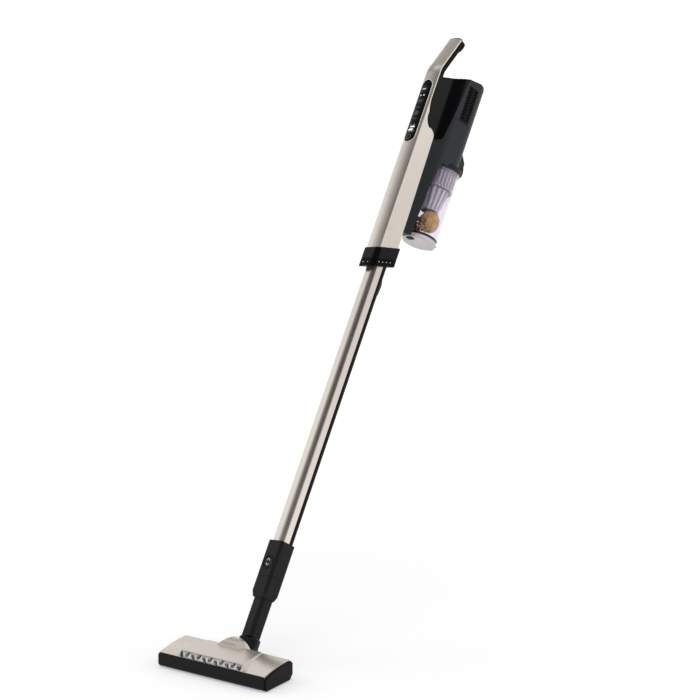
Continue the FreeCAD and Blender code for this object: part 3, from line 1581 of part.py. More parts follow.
def cup_lid():
    disc = Part.makeCylinder(cup_radius, lid_thickness, V(0, cup_axis, cup_z))
    disc = disc.makeFillet(1.6, [e for e in disc.Edges if abs(e.CenterOfMass.z - cup_z) < 0.01])
    hollow = Part.makeCylinder(cup_radius - 4.4, lid_thickness, V(0, cup_axis, cup_z + 1.8))
    plug = Part.makeCylinder(cup_radius - 4.0, 5.0, V(0, cup_axis, cup_z + lid_thickness - 0.5))
    plug = plug.cut(Part.makeCylinder(cup_radius - 6.0, 8.0, V(0, cup_axis, cup_z + lid_thickness - 2)))
    disc = fuse(disc.cut(hollow), plug)
    knuckle = rod(3.0, V(-3.8, hinge_y(), hinge_z()), V(3.8, hinge_y(), hinge_z()))
    arm = box(-3.8, 3.8, cup_axis + cup_radius - 4.0, hinge_y() + 1.0, cup_z + 2.0, hinge_z())
    arm = arm.cut(Part.makeCylinder(cup_radius + 0.5, 9, V(0, cup_axis, cup_z + lid_thickness)))
    arm = arm.cut(Part.makeCylinder(cup_radius - 3.4, 20, V(0, cup_axis, cup_z + 1.8)))
    disc = fuse(disc, knuckle.cut(Part.makeCylinder(cup_radius + 0.3, 90, V(0, cup_axis, cup_z))), arm)
    pin = rod(1.5 + running_gap, V(-20, hinge_y(), hinge_z()), V(20, hinge_y(), hinge_z()))
    return disc.cut(pin)


def hinge_pin():
    return rod(1.5, V(-7.6, hinge_y(), hinge_z()), V(7.6, hinge_y(), hinge_z()))


def lid_seal():
    z = cup_z + lid_thickness + 0.8
    ring = Part.makeCylinder(cup_radius - cup_wall - 1.0, 3.2, V(0, cup_axis, z))
    return ring.cut(Part.makeCylinder(cup_radius - 4.0, 10, V(0, cup_axis, z - 3)))


def lid_latch():
    """Sliding catch on the underside of the lid."""
    y = cup_axis - cup_radius
    low = cup_z - 2.3
    tab = box(-6, 6, y + 4.0, y + 14.0, low, cup_z - 0.3)
    return tab.makeFillet(0.7, [e for e in tab.Edges if abs(e.CenterOfMass.z - low) < 0.01])


def cyclone():
    """Separator: ribbed filter drum under the rim, perforated ring and tapered lower tube."""
    top = cup_top - 0.4
    rim = cup_radius - cup_wall - 0.3
    drum = rim - 1.0
    neck = Part.makeCylinder(rim, 4.0, V(0, cup_axis, top - 4.0))
    body = Part.makeCylinder(drum, drum_height, V(0, cup_axis, top - 4.0 - drum_height))
    ring = Part.makeCylinder(rim, 4.0, V(0, cup_axis, top - drum_height - 7.0))
    low = top - drum_height - 7.0
    tube = Part.makeCone(tube_end, tube_start, tube_height, V(0, cup_axis, low - tube_height))
    whole = fuse(neck, body, ring, tube)
    wall = 2.2
    whole = whole.cut(Part.makeCylinder(drum - wall, drum_height + 20, V(0, cup_axis, low + wall)))
    whole = whole.cut(Part.makeCone(tube_end - wall, tube_start - wall, tube_height + 2 * wall,
                                    V(0, cup_axis, low - tube_height - wall)))
    ribs = around_cup(drum_ribs, box(drum - 0.8, drum + 2, -1.2, 1.2, top - drum_height - 2.5,
                                     top - 5.5))
    holes = around_cup(drum_ribs, box(rim - 1.2, rim + 1, -1.2, 1.2, low + 1.2, low + 2.8))
    flutes = around_cup(10, box(tube_start - 1.0, tube_start + 9, -1.6, 1.6, low - tube_height - 1,
                                low - 2.0), (tube_start - tube_end) / tube_height)
    return whole.cut(ribs).cut(holes).cut(flutes)


def around_cup(count, cutter, taper=0.0):
    """Copies of a cutter round the cup's axis; taper leans them with a cone."""
    cutters = []
    for i in range(count):
        one = cutter.copy()
        if taper:
            foot = V(cutter.BoundBox.XMin, 0, cutter.BoundBox.ZMax)
            one.rotate(foot, Y_AXIS, degrees(atan2(taper, 1)))
        one.rotate(V(0, 0, 0), Z_AXIS, 360.0 * i / count)
        one.translate(V(0, cup_axis, 0))
        cutters.append(one)
    return Part.makeCompound(cutters)


def pre_filter():
    """Round foam filter in the top of the separator."""
    top = cup_top - 0.4
    return Part.makeCylinder(cup_radius - cup_wall - 4.0, 9.0, V(0, cup_axis, top - 9.2))


# ---- cup latch ------------------------------------------------------------------------------
def cup_latch():
    z = latch_place()
    y = housing_back
    side = [(y + 5, z - 3), (y + 17, z - 3), (y + 20, z), (y + 20.5, z + 8), (y + 19, z + 16),
            (y + 15, z + 22), (y + 5, z + 22)]
    button = side_prism(side, latch_half)
    return fillet_where(button, 1.5, lambda m, e: abs(abs(m.x) - latch_half) < 0.01
                        and m.y > y + 16)


def latch_spring():
    z = latch_place()
    return box(-4, 4, housing_back + 1.6, housing_back + 1.6 + leaf_thickness, z + 1, z + 18)


# ---- sub-parts ------------------------------------------------------------------------------
HEAD_PARTS = {
    "head_base": head_base, "head_cover": head_cover, "head_window": head_window,
    "led_board": led_board, "front_bumper": front_bumper,
    "end_caps": lambda: Part.makeCompound([end_cap(-1), end_cap(1)]),
    "glide_strip": glide_strip, "head_screws": head_screws,
    "brush_core": brush_core, "brush_bristles": brush_bristles, "brush_bearings": brush_bearings,
    "drive_belt": drive_belt, "brush_motor": brush_motor, "motor_pinion": motor_pinion,
    "rear_wheel_left": lambda: rear_wheel(-1), "rear_wheel_right": lambda: rear_wheel(1),
    "front_roller_left": lambda: front_roller(-1), "front_roller_right": lambda: front_roller(1),
    "head_pins": head_pins,
}
ELBOW_PARTS = {"swivel_elbow": swivel_elbow}
STICK_PARTS = {
    "neck_tube": neck_tube, "connector_shell": connector_shell, "release_button": release_button,
    "button_spring": button_spring,
    "wand_front_shell": wand_front_shell, "wand_back_rail": wand_back_rail,
    "wand_lower_plug": wand_lower_plug, "wand_upper_plug": wand_upper_plug,
    "wand_lever": wand_lever, "wand_conductors": wand_conductors,
    "collar": collar, "body_shell": body_shell, "handle_grip": handle_grip,
    "control_panel": control_panel, "lamp_window": lamp_window, "panel_board": panel_board,
    "upper_core": upper_core, "rear_housing": rear_housing,
    "vent_plates": lambda: Part.makeCompound([vent_plate(-1), vent_plate(1)]),
    "motor_can": motor_can, "motor_rotor": lambda: fuse(motor_rotor(), fan_wheel()),
    "motor_mounts": motor_mounts, "motor_board": motor_board, "exhaust_filter": exhaust_filter,
    "inlet_duct": inlet_duct, "battery_cells": battery_cells, "battery_frame": battery_frame,
    "cup_body": cup_body, "cup_lid": cup_lid, "hinge_pin": hinge_pin, "lid_seal": lid_seal,
    "lid_latch": lid_latch, "cyclone": cyclone, "pre_filter": pre_filter,
    "cup_latch": cup_latch, "latch_spring": latch_spring,
}
for button_name, button_z in BUTTONS:
    STICK_PARTS[button_name] = lambda z=button_z: push_key(z)


def main():
    os.makedirs("parts", exist_ok=True)
    groups = ((HEAD_PARTS, lambda shape: shape), (ELBOW_PARTS, placed_on_elbow),
              (STICK_PARTS, placed_on_stick))
    for parts, place in groups:
        for name, make in parts.items():
            shape = make()
            valid = shape.isValid()
            solids = len(shape.Solids)
            volume = shape.Volume / 1000
            print("%-20s solids %2d  volume %8.2f cm3  valid %s" % (name, solids, volume, valid))
            place(shape).exportStep("parts/%s.step" % name)


main()
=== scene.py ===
# %% [markdown]
# # A cordless stick vacuum cleaner
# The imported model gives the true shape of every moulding, tube and wheel. This lesson loads that
# frame, gives each piece its finish, and adds what only shows from close by: the fluff in the cup,
# the lamp reflectors in the head's window, the prints on the keys and the bristles of the roll.
# The mouldings could be drawn again here, but the frame's own shapes keep every fit and joint.

# %% Load the frame
import json
import math
import random

import bmesh
import bpy
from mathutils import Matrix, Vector, noise
from mathutils.bvhtree import BVHTree


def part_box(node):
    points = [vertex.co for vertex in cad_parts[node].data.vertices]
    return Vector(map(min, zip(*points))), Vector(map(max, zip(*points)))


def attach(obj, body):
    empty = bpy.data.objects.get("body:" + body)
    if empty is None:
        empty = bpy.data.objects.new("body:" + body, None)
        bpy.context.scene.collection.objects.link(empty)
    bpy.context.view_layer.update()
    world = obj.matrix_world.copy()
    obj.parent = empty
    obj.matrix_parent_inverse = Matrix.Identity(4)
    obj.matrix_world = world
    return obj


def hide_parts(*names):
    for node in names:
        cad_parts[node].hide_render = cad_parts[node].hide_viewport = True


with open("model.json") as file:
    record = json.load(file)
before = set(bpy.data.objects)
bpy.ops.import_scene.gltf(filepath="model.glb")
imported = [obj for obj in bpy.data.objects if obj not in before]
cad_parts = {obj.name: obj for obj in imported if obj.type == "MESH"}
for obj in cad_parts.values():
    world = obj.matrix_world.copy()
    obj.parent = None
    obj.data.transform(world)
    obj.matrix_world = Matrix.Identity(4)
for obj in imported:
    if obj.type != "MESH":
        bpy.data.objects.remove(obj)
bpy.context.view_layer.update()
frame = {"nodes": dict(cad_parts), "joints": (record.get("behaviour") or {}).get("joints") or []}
nodes = frame["nodes"]
scene = bpy.context.scene

# %% [markdown]
# ## The stick's own directions
# The stick leans back and is turned a little about its own axis. Its joints already say how, so
# they are read here: the tube pulls off along the stick, the keys press straight back, and the
# lid's hinge lies across. Everything on the stick is then placed in millimetres across, back and
# up, which is how its maker would measure it on a bench.

# %% The stick's directions and its foot
joint = {j["name"]: j for j in frame["joints"]}
ACROSS = Vector(joint["lid_open"]["axis"]).normalized()
BACK = Vector(joint["press_high"]["axis"]).normalized()
UP = -Vector(joint["wand_out"]["axis"]).normalized()
FOOT = Vector(joint["head_pitch"]["pos_m"])
MM = 0.001


def on_stick(x, y, z):
    """A point given in millimetres across, back and up the stick."""
    return FOOT + (ACROSS * x + BACK * y + UP * z) * MM


def off_stick(point):
    """Millimetres across, back and up the stick at a point."""
    way = (point - FOOT) / MM
    return tuple(way.dot(axis) for axis in (ACROSS, BACK, UP))


def along_stick(node):
    """Lowest and highest places of a node across, back and up the stick, in millimetres."""
    rows = [off_stick(v.co) for v in nodes[node].data.vertices]
    return [(min(span), max(span)) for span in zip(*rows)]


print("cup runs", along_stick("cup_body"))

# %% [markdown]
# ## Camera
# A short lens close by would splay the stick's sides apart. A long lens far away keeps them nearly
# parallel, so the camera stands well off, to the right of the head and a little above it.

# %% Camera
AZIMUTH = math.radians(34.36)
ELEVATION = math.radians(12.84)
DISTANCE = 3.8
AIM = Vector((0.0, 0.238, 0.450))
camera_data = bpy.data.cameras.new("camera")
camera_data.lens = 111.42
camera_data.sensor_width = 36.0
camera_data.shift_x = 0.0547
camera_data.shift_y = 0.0530
camera = bpy.data.objects.new("camera", camera_data)
scene.collection.objects.link(camera)
outward = Vector((math.sin(AZIMUTH) * math.cos(ELEVATION),
                  -math.cos(AZIMUTH) * math.cos(ELEVATION), math.sin(ELEVATION)))
camera.location = AIM + outward * DISTANCE
camera.rotation_euler = outward.to_track_quat("Z", "Y").to_euler()
scene.camera = camera
print("camera at", tuple(round(c, 3) for c in camera.location))

# %% [markdown]
# ## Helpers for node trees
# Every finish below is a tree of shader nodes. Adding a node takes the same few lines each time, so
# one helper makes it, sets its values and joins its sockets.

# %% Helpers for node trees
def add_node(tree, kind, inputs=None, **settings):
    """Node of a kind; each named or numbered input gets a value or is joined to a socket."""
    node = tree.nodes.new(kind)
    for name, value in settings.items():
        setattr(node, name, value)
    for name, value in (inputs or {}).items():
        if isinstance(value, bpy.types.NodeSocket):
            tree.links.new(value, node.inputs[name])
        else:
            node.inputs[name].default_value = value
    return node


def calculate(tree, operation, *numbers):
    """Result of arithmetic on sockets or plain numbers."""
    node = add_node(tree, "ShaderNodeMath", dict(enumerate(numbers)), operation=operation)
    return node.outputs[0]


def choose(tree, test, when_false, when_true):
    """Number that depends on a test: each side is a number or a socket."""
    node = add_node(tree, "ShaderNodeMix", {"Factor": test, 2: when_false, 3: when_true})
    return node.outputs[0]


def ramp_over(tree, number, reach, stops):
    """Ramp of grey strengths over a number that runs from -reach to reach."""
    share = calculate(tree, "MULTIPLY_ADD", number, 0.5 / reach, 0.5)
    node = add_node(tree, "ShaderNodeValToRGB", {"Fac": share})
    elements = node.color_ramp.elements
    elements.remove(elements[1])
    for i, (place, strength) in enumerate(stops):
        position = 0.5 + 0.5 * place / reach
        stop = elements.new(position) if i else elements[0]
        stop.position = position
        stop.color = (strength, strength, strength, 1)
    return node.outputs["Color"]


# %% [markdown]
# ## Surround
# Metallic paint only looks like metal when it has something to mirror. Real flags and boards could
# stand round the cleaner, but they would show in other views. Here the world itself is the studio:
# white, with one dark flag on the right that stands along the stick. A ramp over the angle round
# the stick, in degrees from straight ahead, sets how bright each side is, so the tube's round
# corner mirrors the flag as a dark line along its whole length, and its flats mirror the white.
#
# The ramps are layered by how far the mirrored direction points up the stick: the tube, the flanks
# of the body, the bend of the handle, the head's dome and the ceiling each mirror their own layer.
# Each layer fades in over a short span, and what points down the stick mirrors the ceiling's light
# once more. Soft light on dull surfaces stays even.

# %% What each side of the studio looks like
scene.view_settings.view_transform = "Standard"
TUBE = ((-180, 0.80), (-130, 0.95), (-85, 1.0), (-50, 1.14), (-26, 0.80), (-7, 0.50), (10, 0.27),
        (24, 0.12), (40, 0.05), (66, 0.03), (90, 0.06), (105, 0.36), (118, 0.80), (126, 0.90),
        (180, 0.80))
FLANKS = ((-180, 0.80), (-130, 0.95), (-85, 1.05), (-62, 1.05), (-45, 0.80), (-28, 0.46),
          (-16, 0.29), (-4, 0.11), (8, 0.03), (25, 0.02), (40, 0.02), (80, 0.03), (93, 0.12),
          (104, 0.40), (116, 0.70), (126, 0.78), (180, 0.78))
HANDLE_BEND = ((-180, 0.80), (-110, 1.0), (-98, 0.75), (-88, 0.36), (-76, 0.28), (-55, 0.36),
               (-35, 0.34), (-20, 0.26), (0, 0.18), (40, 0.10), (90, 0.15), (108, 0.60),
               (120, 1.35), (150, 1.2), (180, 0.90))
DOME = ((-180, 0.74), (-112, 0.95), (-98, 0.85), (-88, 0.44), (-76, 0.34), (-60, 0.42),
        (-42, 0.55), (-34, 1.0), (-17, 1.0), (-6, 0.60), (20, 0.80), (38, 1.0), (60, 1.0),
        (120, 0.90), (168, 0.78), (180, 0.74))
CEILING = ((-180, 0.74), (-122, 0.72), (-106, 0.72), (-96, 0.80), (-88, 0.56), (-76, 0.36),
           (-40, 0.38), (-12, 0.60), (20, 1.0), (60, 1.0), (120, 0.88), (168, 0.76), (180, 0.74))
CROWN = ((-180, 0.74), (-112, 0.86), (-95, 1.02), (-72, 1.05), (-56, 0.38), (0, 0.34), (40, 0.85),
         (145, 0.84), (180, 0.76))
LAYERS = ((0.02, 0.16, TUBE), (0.28, 0.32, FLANKS), (0.37, 0.40, HANDLE_BEND), (0.50, 0.55, DOME),
          (0.62, 0.67, CEILING), (0.71, 0.77, CROWN))
BELOW_ALL = CEILING
DULL_LIGHT = 0.55
HALF_TURN = 180.0
print("the studio has", len(LAYERS), "layers along the stick")


# %% Surround
def share_along(tree, view, axis):
    """How far the direction that is looked in points along an axis."""
    node = add_node(tree, "ShaderNodeVectorMath", {0: view, 1: axis}, operation="DOT_PRODUCT")
    return node.outputs["Value"]


world = bpy.data.worlds.new("studio")
scene.world = world
world.use_nodes = True
tree = world.node_tree
tree.nodes.clear()
view = add_node(tree, "ShaderNodeTexCoord").outputs["Generated"]
turn = calculate(tree, "ARCTAN2", share_along(tree, view, ACROSS), share_along(tree, view, -BACK))
turn = calculate(tree, "MULTIPLY", turn, 180 / math.pi)
height = share_along(tree, view, UP)
studio = ramp_over(tree, turn, HALF_TURN, BELOW_ALL)
for start, full, stops in LAYERS:
    step = add_node(tree, "ShaderNodeMapRange",
                    {"Value": height, "From Min": start, "From Max": full})
    studio = choose(tree, step.outputs["Result"], studio, ramp_over(tree, turn, HALF_TURN, stops))
ray = add_node(tree, "ShaderNodeLightPath").outputs
strength = choose(tree, ray["Is Glossy Ray"], DULL_LIGHT, studio)
strength = choose(tree, ray["Is Transmission Ray"], strength, 1.0)
strength = choose(tree, ray["Is Camera Ray"], strength, 1.0)
sky = add_node(tree, "ShaderNodeBackground", {"Color": (1, 1, 1, 1), "Strength": strength})
add_node(tree, "ShaderNodeOutputWorld", {"Surface": sky.outputs[0]})
print("the studio's tree has", len(tree.nodes), "nodes")

# %% [markdown]
# ## Floor
# A curved backdrop would do, but its bend shows from other sides. A wide pale floor that runs on
# past the horizon has no edge behind the cleaner. Seen directly, mirrored or through glass, it
# glows a little more with distance, so it melts into the white. Near the head it keeps the soft
# shadow.


# %% A helper for materials
def new_material(name):
    """Material with an empty node tree."""
    material = bpy.data.materials.new(name)
    material.use_nodes = True
    material.node_tree.nodes.clear()
    return material, material.node_tree


def show(tree, shader):
    """Join a shader to its material's output."""
    add_node(tree, "ShaderNodeOutputMaterial", {"Surface": shader.outputs[0]})


# %% Floor
FLOOR_REACH = 60.0
FLOOR_GREY = (0.82, 0.82, 0.82, 1)
NEAR, FAR = 0.35, 3.0
NEAR_GLOW, FAR_GLOW = 0.36, 0.64
mesh = bpy.data.meshes.new("floor")
mesh.from_pydata([(x * FLOOR_REACH, y * FLOOR_REACH, 0)
                  for x, y in ((-1, -1), (1, -1), (1, 1), (-1, 1))], [], [(0, 1, 2, 3)])
floor = bpy.data.objects.new("floor", mesh)
scene.collection.objects.link(floor)
material, tree = new_material("pale_floor")
place = add_node(tree, "ShaderNodeTexCoord").outputs["Object"]
distance = add_node(tree, "ShaderNodeVectorMath", {0: place}, operation="LENGTH").outputs["Value"]
rise = add_node(tree, "ShaderNodeMapRange",
                {"Value": distance, "From Min": NEAR, "From Max": FAR, "To Min": NEAR_GLOW,
                 "To Max": FAR_GLOW}, interpolation_type="SMOOTHSTEP").outputs["Result"]
ray = add_node(tree, "ShaderNodeLightPath").outputs
strength = 0.0
for kind in ("Is Camera Ray", "Is Glossy Ray", "Is Transmission Ray"):
    strength = choose(tree, ray[kind], strength, rise)
matt = add_node(tree, "ShaderNodeBsdfDiffuse", {"Color": FLOOR_GREY})
glow = add_node(tree, "ShaderNodeEmission", {"Strength": strength})
show(tree, add_node(tree, "ShaderNodeAddShader", {0: matt.outputs[0], 1: glow.outputs[0]}))
mesh.materials.append(material)
print("the floor runs", FLOOR_REACH, "m each way")

# %% [markdown]
# ## Lamps
# Two tall soft boxes stand left and right, and a third one overhead lights the tops. They light the
# dull surfaces and draw the shadow. The glossy surfaces see only the surround, so no lamp shows up
# as a hot patch in the paint.

# %% Lamps
LIT_MIDDLE = Vector((0.0, 0.25, 0.5))


def soft_box(name, azimuth, height, distance, size, watts):
    """Area lamp at an angle round the cleaner from straight ahead, aimed at its middle."""
    data = bpy.data.lights.new(name, "AREA")
    data.shape = "RECTANGLE"
    data.size, data.size_y = size
    data.energy = watts
    box = bpy.data.objects.new(name, data)
    scene.collection.objects.link(box)
    turn = math.radians(azimuth)
    box.location = LIT_MIDDLE + Vector((math.sin(turn) * distance, -math.cos(turn) * distance,
                                        height - LIT_MIDDLE.z))
    box.rotation_euler = (box.location - LIT_MIDDLE).to_track_quat("Z", "Y").to_euler()
    box.visible_camera = False
    box.visible_glossy = False
    print(name, "gives", watts, "W from", azimuth, "degrees")


soft_box("left_box", azimuth=-68.0, height=1.5, distance=2.7, size=(1.6, 2.8), watts=17)
soft_box("right_box", azimuth=116.0, height=1.3, distance=2.7, size=(1.4, 2.6), watts=12)
soft_box("top_box", azimuth=20.0, height=3.2, distance=0.5, size=(2.2, 2.2), watts=15)

# %% [markdown]
# ## Finishes
# Each finish is a principled shader with its own small variation. Pearl paint has fine flakes,
# moulded plastic has a spark-eroded grain, and rubber is dull. No real edge is knife sharp. Bevels
# in the mesh would multiply its faces, so a bevel in the shading eases every moulded edge instead.

# %% A helper for finishes
PATCH_SIZE = 42.0
SMOOTHEST, ROUGHEST = 0.88, 1.14
GRAIN_DEPTH = 0.2 * MM
COAT_ROUGHNESS = 0.08


def finish_material(name, colour, rough, metal=0.0, grain=0.0, grain_size=2600.0, shade=0.05,
                    coat=0.0, clear=0.0, sheen=0.0, edge=0.35, ior=1.5, shine=0.5):
    """Principled finish with colour and roughness varied by noise, a fine bump and eased edges."""
    material, tree = new_material(name)
    place = add_node(tree, "ShaderNodeTexCoord").outputs["Object"]
    patches = add_node(tree, "ShaderNodeTexNoise",
                       {"Vector": place, "Scale": PATCH_SIZE, "Detail": 4.0}).outputs["Fac"]
    dark = (*[c * (1 - shade) for c in colour], 1)
    light = (*[min(1.0, c * (1 + shade)) for c in colour], 1)
    tint = add_node(tree, "ShaderNodeMix", {"Factor": patches, "A": dark, "B": light},
                    data_type="RGBA")
    spread = add_node(tree, "ShaderNodeMapRange",
                      {"Value": patches, "To Min": rough * SMOOTHEST,
                       "To Max": min(1.0, rough * ROUGHEST)})
    normal = {}
    if edge > 0:
        eased = add_node(tree, "ShaderNodeBevel", {"Radius": edge * MM}, samples=4)
        normal = {"Normal": eased.outputs["Normal"]}
    if grain > 0:
        fine = add_node(tree, "ShaderNodeTexNoise",
                        {"Vector": place, "Scale": grain_size, "Detail": 2.0})
        bump = add_node(tree, "ShaderNodeBump",
                        {"Strength": grain, "Distance": GRAIN_DEPTH,
                         "Height": fine.outputs["Fac"], **normal})
        normal = {"Normal": bump.outputs["Normal"]}
    show(tree, add_node(tree, "ShaderNodeBsdfPrincipled",
                        {"Base Color": tint.outputs["Result"],
                         "Roughness": spread.outputs["Result"], "Metallic": metal,
                         "Coat Weight": coat, "Coat Roughness": COAT_ROUGHNESS, "IOR": ior,
                         "Transmission Weight": clear, "Sheen Weight": sheen,
                         "Specular IOR Level": shine, **normal}))
    return material


# %% [markdown]
# ## Paints
# The head, the handle unit and the tube share one champagne. On the mouldings it is a pearl paint
# under a thin clear coat. The tube is aluminium with a satin paint, so its reflections are crisper.
# A plain beige would go flat here: the paint has to be nearly all metal for the studio to show.

# %% Paints
CHAMPAGNE = (0.72, 0.655, 0.59)
pearl = finish_material("pearl_champagne", CHAMPAGNE, 0.21, metal=0.88, grain=0.08,
                        grain_size=5200, shade=0.03, coat=0.1)
cover_pearl = finish_material("pearl_champagne_head", CHAMPAGNE, 0.28, metal=0.74, grain=0.14,
                              grain_size=5200, shade=0.04, coat=0.1)
tube_paint = finish_material("satin_champagne", CHAMPAGNE, 0.2, metal=0.95, grain=0.05,
                             grain_size=5200, shade=0.02)
print("champagne in", pearl.name, cover_pearl.name, tube_paint.name)

# %% [markdown]
# ## Plastics and rubber
# Several blacks meet on the cleaner. The core behind the handle is polished, the base is satin, the
# neck and the connector have a coarse grain, the collar is knurled and ribbed, and the motor
# housing is a dark cool grey with a fine grain. One black for all would hide where they meet, so
# each differs a little in colour, roughness, grain and shine.

# %% Plastics and rubber
satin_black = finish_material("satin_black_moulding", (0.0045, 0.0045, 0.005), 0.38, grain=0.25,
                              shine=0.09)
grained_black = finish_material("grained_black_moulding", (0.008, 0.008, 0.009), 0.42, grain=0.6,
                                grain_size=1500, shine=0.2)
gloss_black = finish_material("gloss_black_moulding", (0.003, 0.003, 0.004), 0.13, shade=0.02,
                              shine=0.14)
dark_grey = finish_material("dark_grey_moulding", (0.021, 0.024, 0.026), 0.44, grain=0.35,
                            shine=0.22)
key_black = finish_material("key_black", (0.010, 0.010, 0.011), 0.32, grain=0.1, shine=0.3)
rubber = finish_material("black_rubber", (0.007, 0.007, 0.007), 0.6, grain=0.4, grain_size=1700,
                         shine=0.2)
grey_rubber = finish_material("grey_rubber", (0.2, 0.2, 0.2), 0.7, grain=0.4, grain_size=1700)
white_plastic = finish_material("white_moulding", (0.72, 0.72, 0.70), 0.4, grain=0.15)
ribbed_black = finish_material("ribbed_black_moulding", (0.003, 0.003, 0.0035), 0.25, grain=0.15,
                               shine=0.1)
grey_filter = finish_material("lilac_grey_moulding", (0.46, 0.43, 0.50), 0.35, grain=0.2)
knurled_black = finish_material("knurled_black_moulding", (0.004, 0.0035, 0.0035), 0.2, grain=0.15,
                                shine=0.16)
print(len([m for m in bpy.data.materials if "black" in m.name]), "blacks")

# %% [markdown]
# ## Metals and inside parts
# Motor, cells, springs and pins only show when the cup or the roll is out, or not at all. Each
# still gets its real material, so the model stays right when it is taken apart.

# %% Metals and inside parts
steel = finish_material("brushed_steel", (0.62, 0.62, 0.63), 0.3, metal=1.0, grain=0.2)
copper = finish_material("copper_strip", (0.72, 0.43, 0.2), 0.3, metal=1.0, grain=0.1)
board_green = finish_material("circuit_board", (0.02, 0.14, 0.06), 0.4, grain=0.2)
board_black = finish_material("dark_circuit_board", (0.008, 0.008, 0.009), 0.45, grain=0.2)
cell_wrap = finish_material("cell_wrap", (0.06, 0.2, 0.32), 0.35, grain=0.1)
foam = finish_material("filter_foam", (0.07, 0.07, 0.075), 0.95, grain=1.0, grain_size=900,
                       shade=0.3, sheen=0.2)
silver = finish_material("reflector_silver", (0.88, 0.87, 0.87), 0.14, metal=1.0, edge=0.0,
                         shade=0.02)
print("metals:", steel.name, copper.name, silver.name)

# %% [markdown]
# ## Clear parts
# The cup is clear with a breath of lilac, the lid is milky, and the head's window is smoked. Plain
# transparency would be cheaper, but it bends no light. These are true glass shaders, so the fluff
# and the separator show through with their own reflections.

# %% Clear parts
cup_clear = finish_material("clear_cup", (0.86, 0.82, 0.875), 0.03, clear=1.0, shade=0.01,
                            edge=0.0, ior=1.46)
lid_clear = finish_material("milky_lid", (0.90, 0.855, 0.895), 0.2, clear=0.35, shade=0.03,
                            edge=0.0, ior=1.46)
window_smoke = finish_material("smoked_window", (0.80, 0.78, 0.80), 0.05, clear=1.0, edge=0.0,
                               ior=1.46)
print("clear:", cup_clear.name, lid_clear.name, window_smoke.name)

# %% [markdown]
# ## Every node gets its finish
# The frame's nodes come with plain slots. One table says which finish each moulding, spring and pin
# has, so a missing or misspelt node shows up at once.

# %% Every node gets its finish
FINISH = {
    "head_base": satin_black, "head_cover": cover_pearl, "head_window": window_smoke,
    "led_board": board_green, "front_bumper": rubber, "end_caps": satin_black,
    "glide_strip": rubber, "head_screws": steel, "brush_core": dark_grey,
    "brush_bristles": rubber, "brush_bearings": steel, "drive_belt": rubber,
    "brush_motor": steel, "motor_pinion": white_plastic, "rear_wheel_left": rubber,
    "rear_wheel_right": rubber, "front_roller_left": white_plastic,
    "front_roller_right": white_plastic, "head_pins": steel, "swivel_elbow": grained_black,
    "neck_tube": grained_black, "connector_shell": grained_black, "release_button": gloss_black,
    "button_spring": steel, "wand_front_shell": tube_paint, "wand_back_rail": satin_black,
    "wand_lower_plug": satin_black, "wand_upper_plug": satin_black, "wand_lever": gloss_black,
    "wand_conductors": copper, "collar": knurled_black, "body_shell": pearl,
    "handle_grip": satin_black, "control_panel": gloss_black, "lamp_window": window_smoke,
    "panel_board": board_black, "upper_core": gloss_black, "rear_housing": dark_grey,
    "vent_plates": satin_black, "motor_can": steel, "motor_rotor": steel,
    "motor_mounts": grey_rubber, "motor_board": board_green, "exhaust_filter": foam,
    "inlet_duct": satin_black, "battery_cells": cell_wrap, "battery_frame": white_plastic,
    "cup_body": cup_clear, "cup_lid": lid_clear, "hinge_pin": steel, "lid_seal": rubber,
    "lid_latch": satin_black, "cyclone": grey_filter, "pre_filter": foam,
    "cup_latch": satin_black, "latch_spring": steel, "button_high": key_black,
    "button_standard": key_black, "button_off": key_black,
}
for name, obj in nodes.items():
    obj.data.materials.clear()
    obj.data.materials.append(FINISH[name])
print("finishes on", len(FINISH), "nodes")

# %% [markdown]
# ## The collar's ribbed band
# The collar is one moulding with two looks: a smooth band above and a blacker ribbed band below.
# Two pieces would show a joint that isn't there, so it stays one mesh with two materials. Its lower
# edge slants, and a plane at the same slant parts the faces of the two bands.

# %% The collar's ribbed band
BAND_HEIGHT = 15.4
EDGE_SLACK = 0.3
collar = nodes["collar"].data
collar_points = [off_stick(v.co) for v in collar.vertices]
COLLAR_HALF = along_stick("collar")[0][1]
COLLAR_FRONT, COLLAR_BACK = along_stick("collar")[1]
COLLAR_LOW = min(z for x, y, z in collar_points if y < COLLAR_FRONT + EDGE_SLACK)
collar_back_low = min(z for x, y, z in collar_points if y > COLLAR_BACK - EDGE_SLACK)
COLLAR_RISE = (collar_back_low - COLLAR_LOW) / (COLLAR_BACK - COLLAR_FRONT)


def over_collar_edge(y, z):
    """Height over the collar's slanted lower edge, in millimetres."""
    return z - COLLAR_LOW - COLLAR_RISE * (y - COLLAR_FRONT)


collar.materials.append(ribbed_black)
for polygon in collar.polygons:
    x, y, z = off_stick(polygon.center)
    if over_collar_edge(y, z) < BAND_HEIGHT:
        polygon.material_index = 1
print("collar rises", round(COLLAR_RISE, 2), "mm per mm;",
      sum(p.material_index for p in collar.polygons), "faces are ribbed")

# %% [markdown]
# ## Helpers for new pieces
# Most added pieces are rows of points with faces between neighbouring rows: bands, ribs, rings,
# fibres. One helper lays those faces, a second makes a piece of any shape and lets it ride on its
# body, and a third turns points and faces into such a piece.


# %% Helpers for new pieces
def faces_between(rows, wide, base=0, ring=False, capped=False):
    """Faces between neighbouring rows of points; a row may close on itself, and ends be capped."""
    faces = []
    for row in range(rows - 1):
        for k in range(wide if ring else wide - 1):
            a = base + row * wide + k
            n = base + row * wide + (k + 1) % wide
            faces.append((a, n, n + wide, a + wide))
    if capped:
        last = base + (rows - 1) * wide
        faces += [tuple(range(base, base + wide)), tuple(range(last, last + wide))]
    return faces


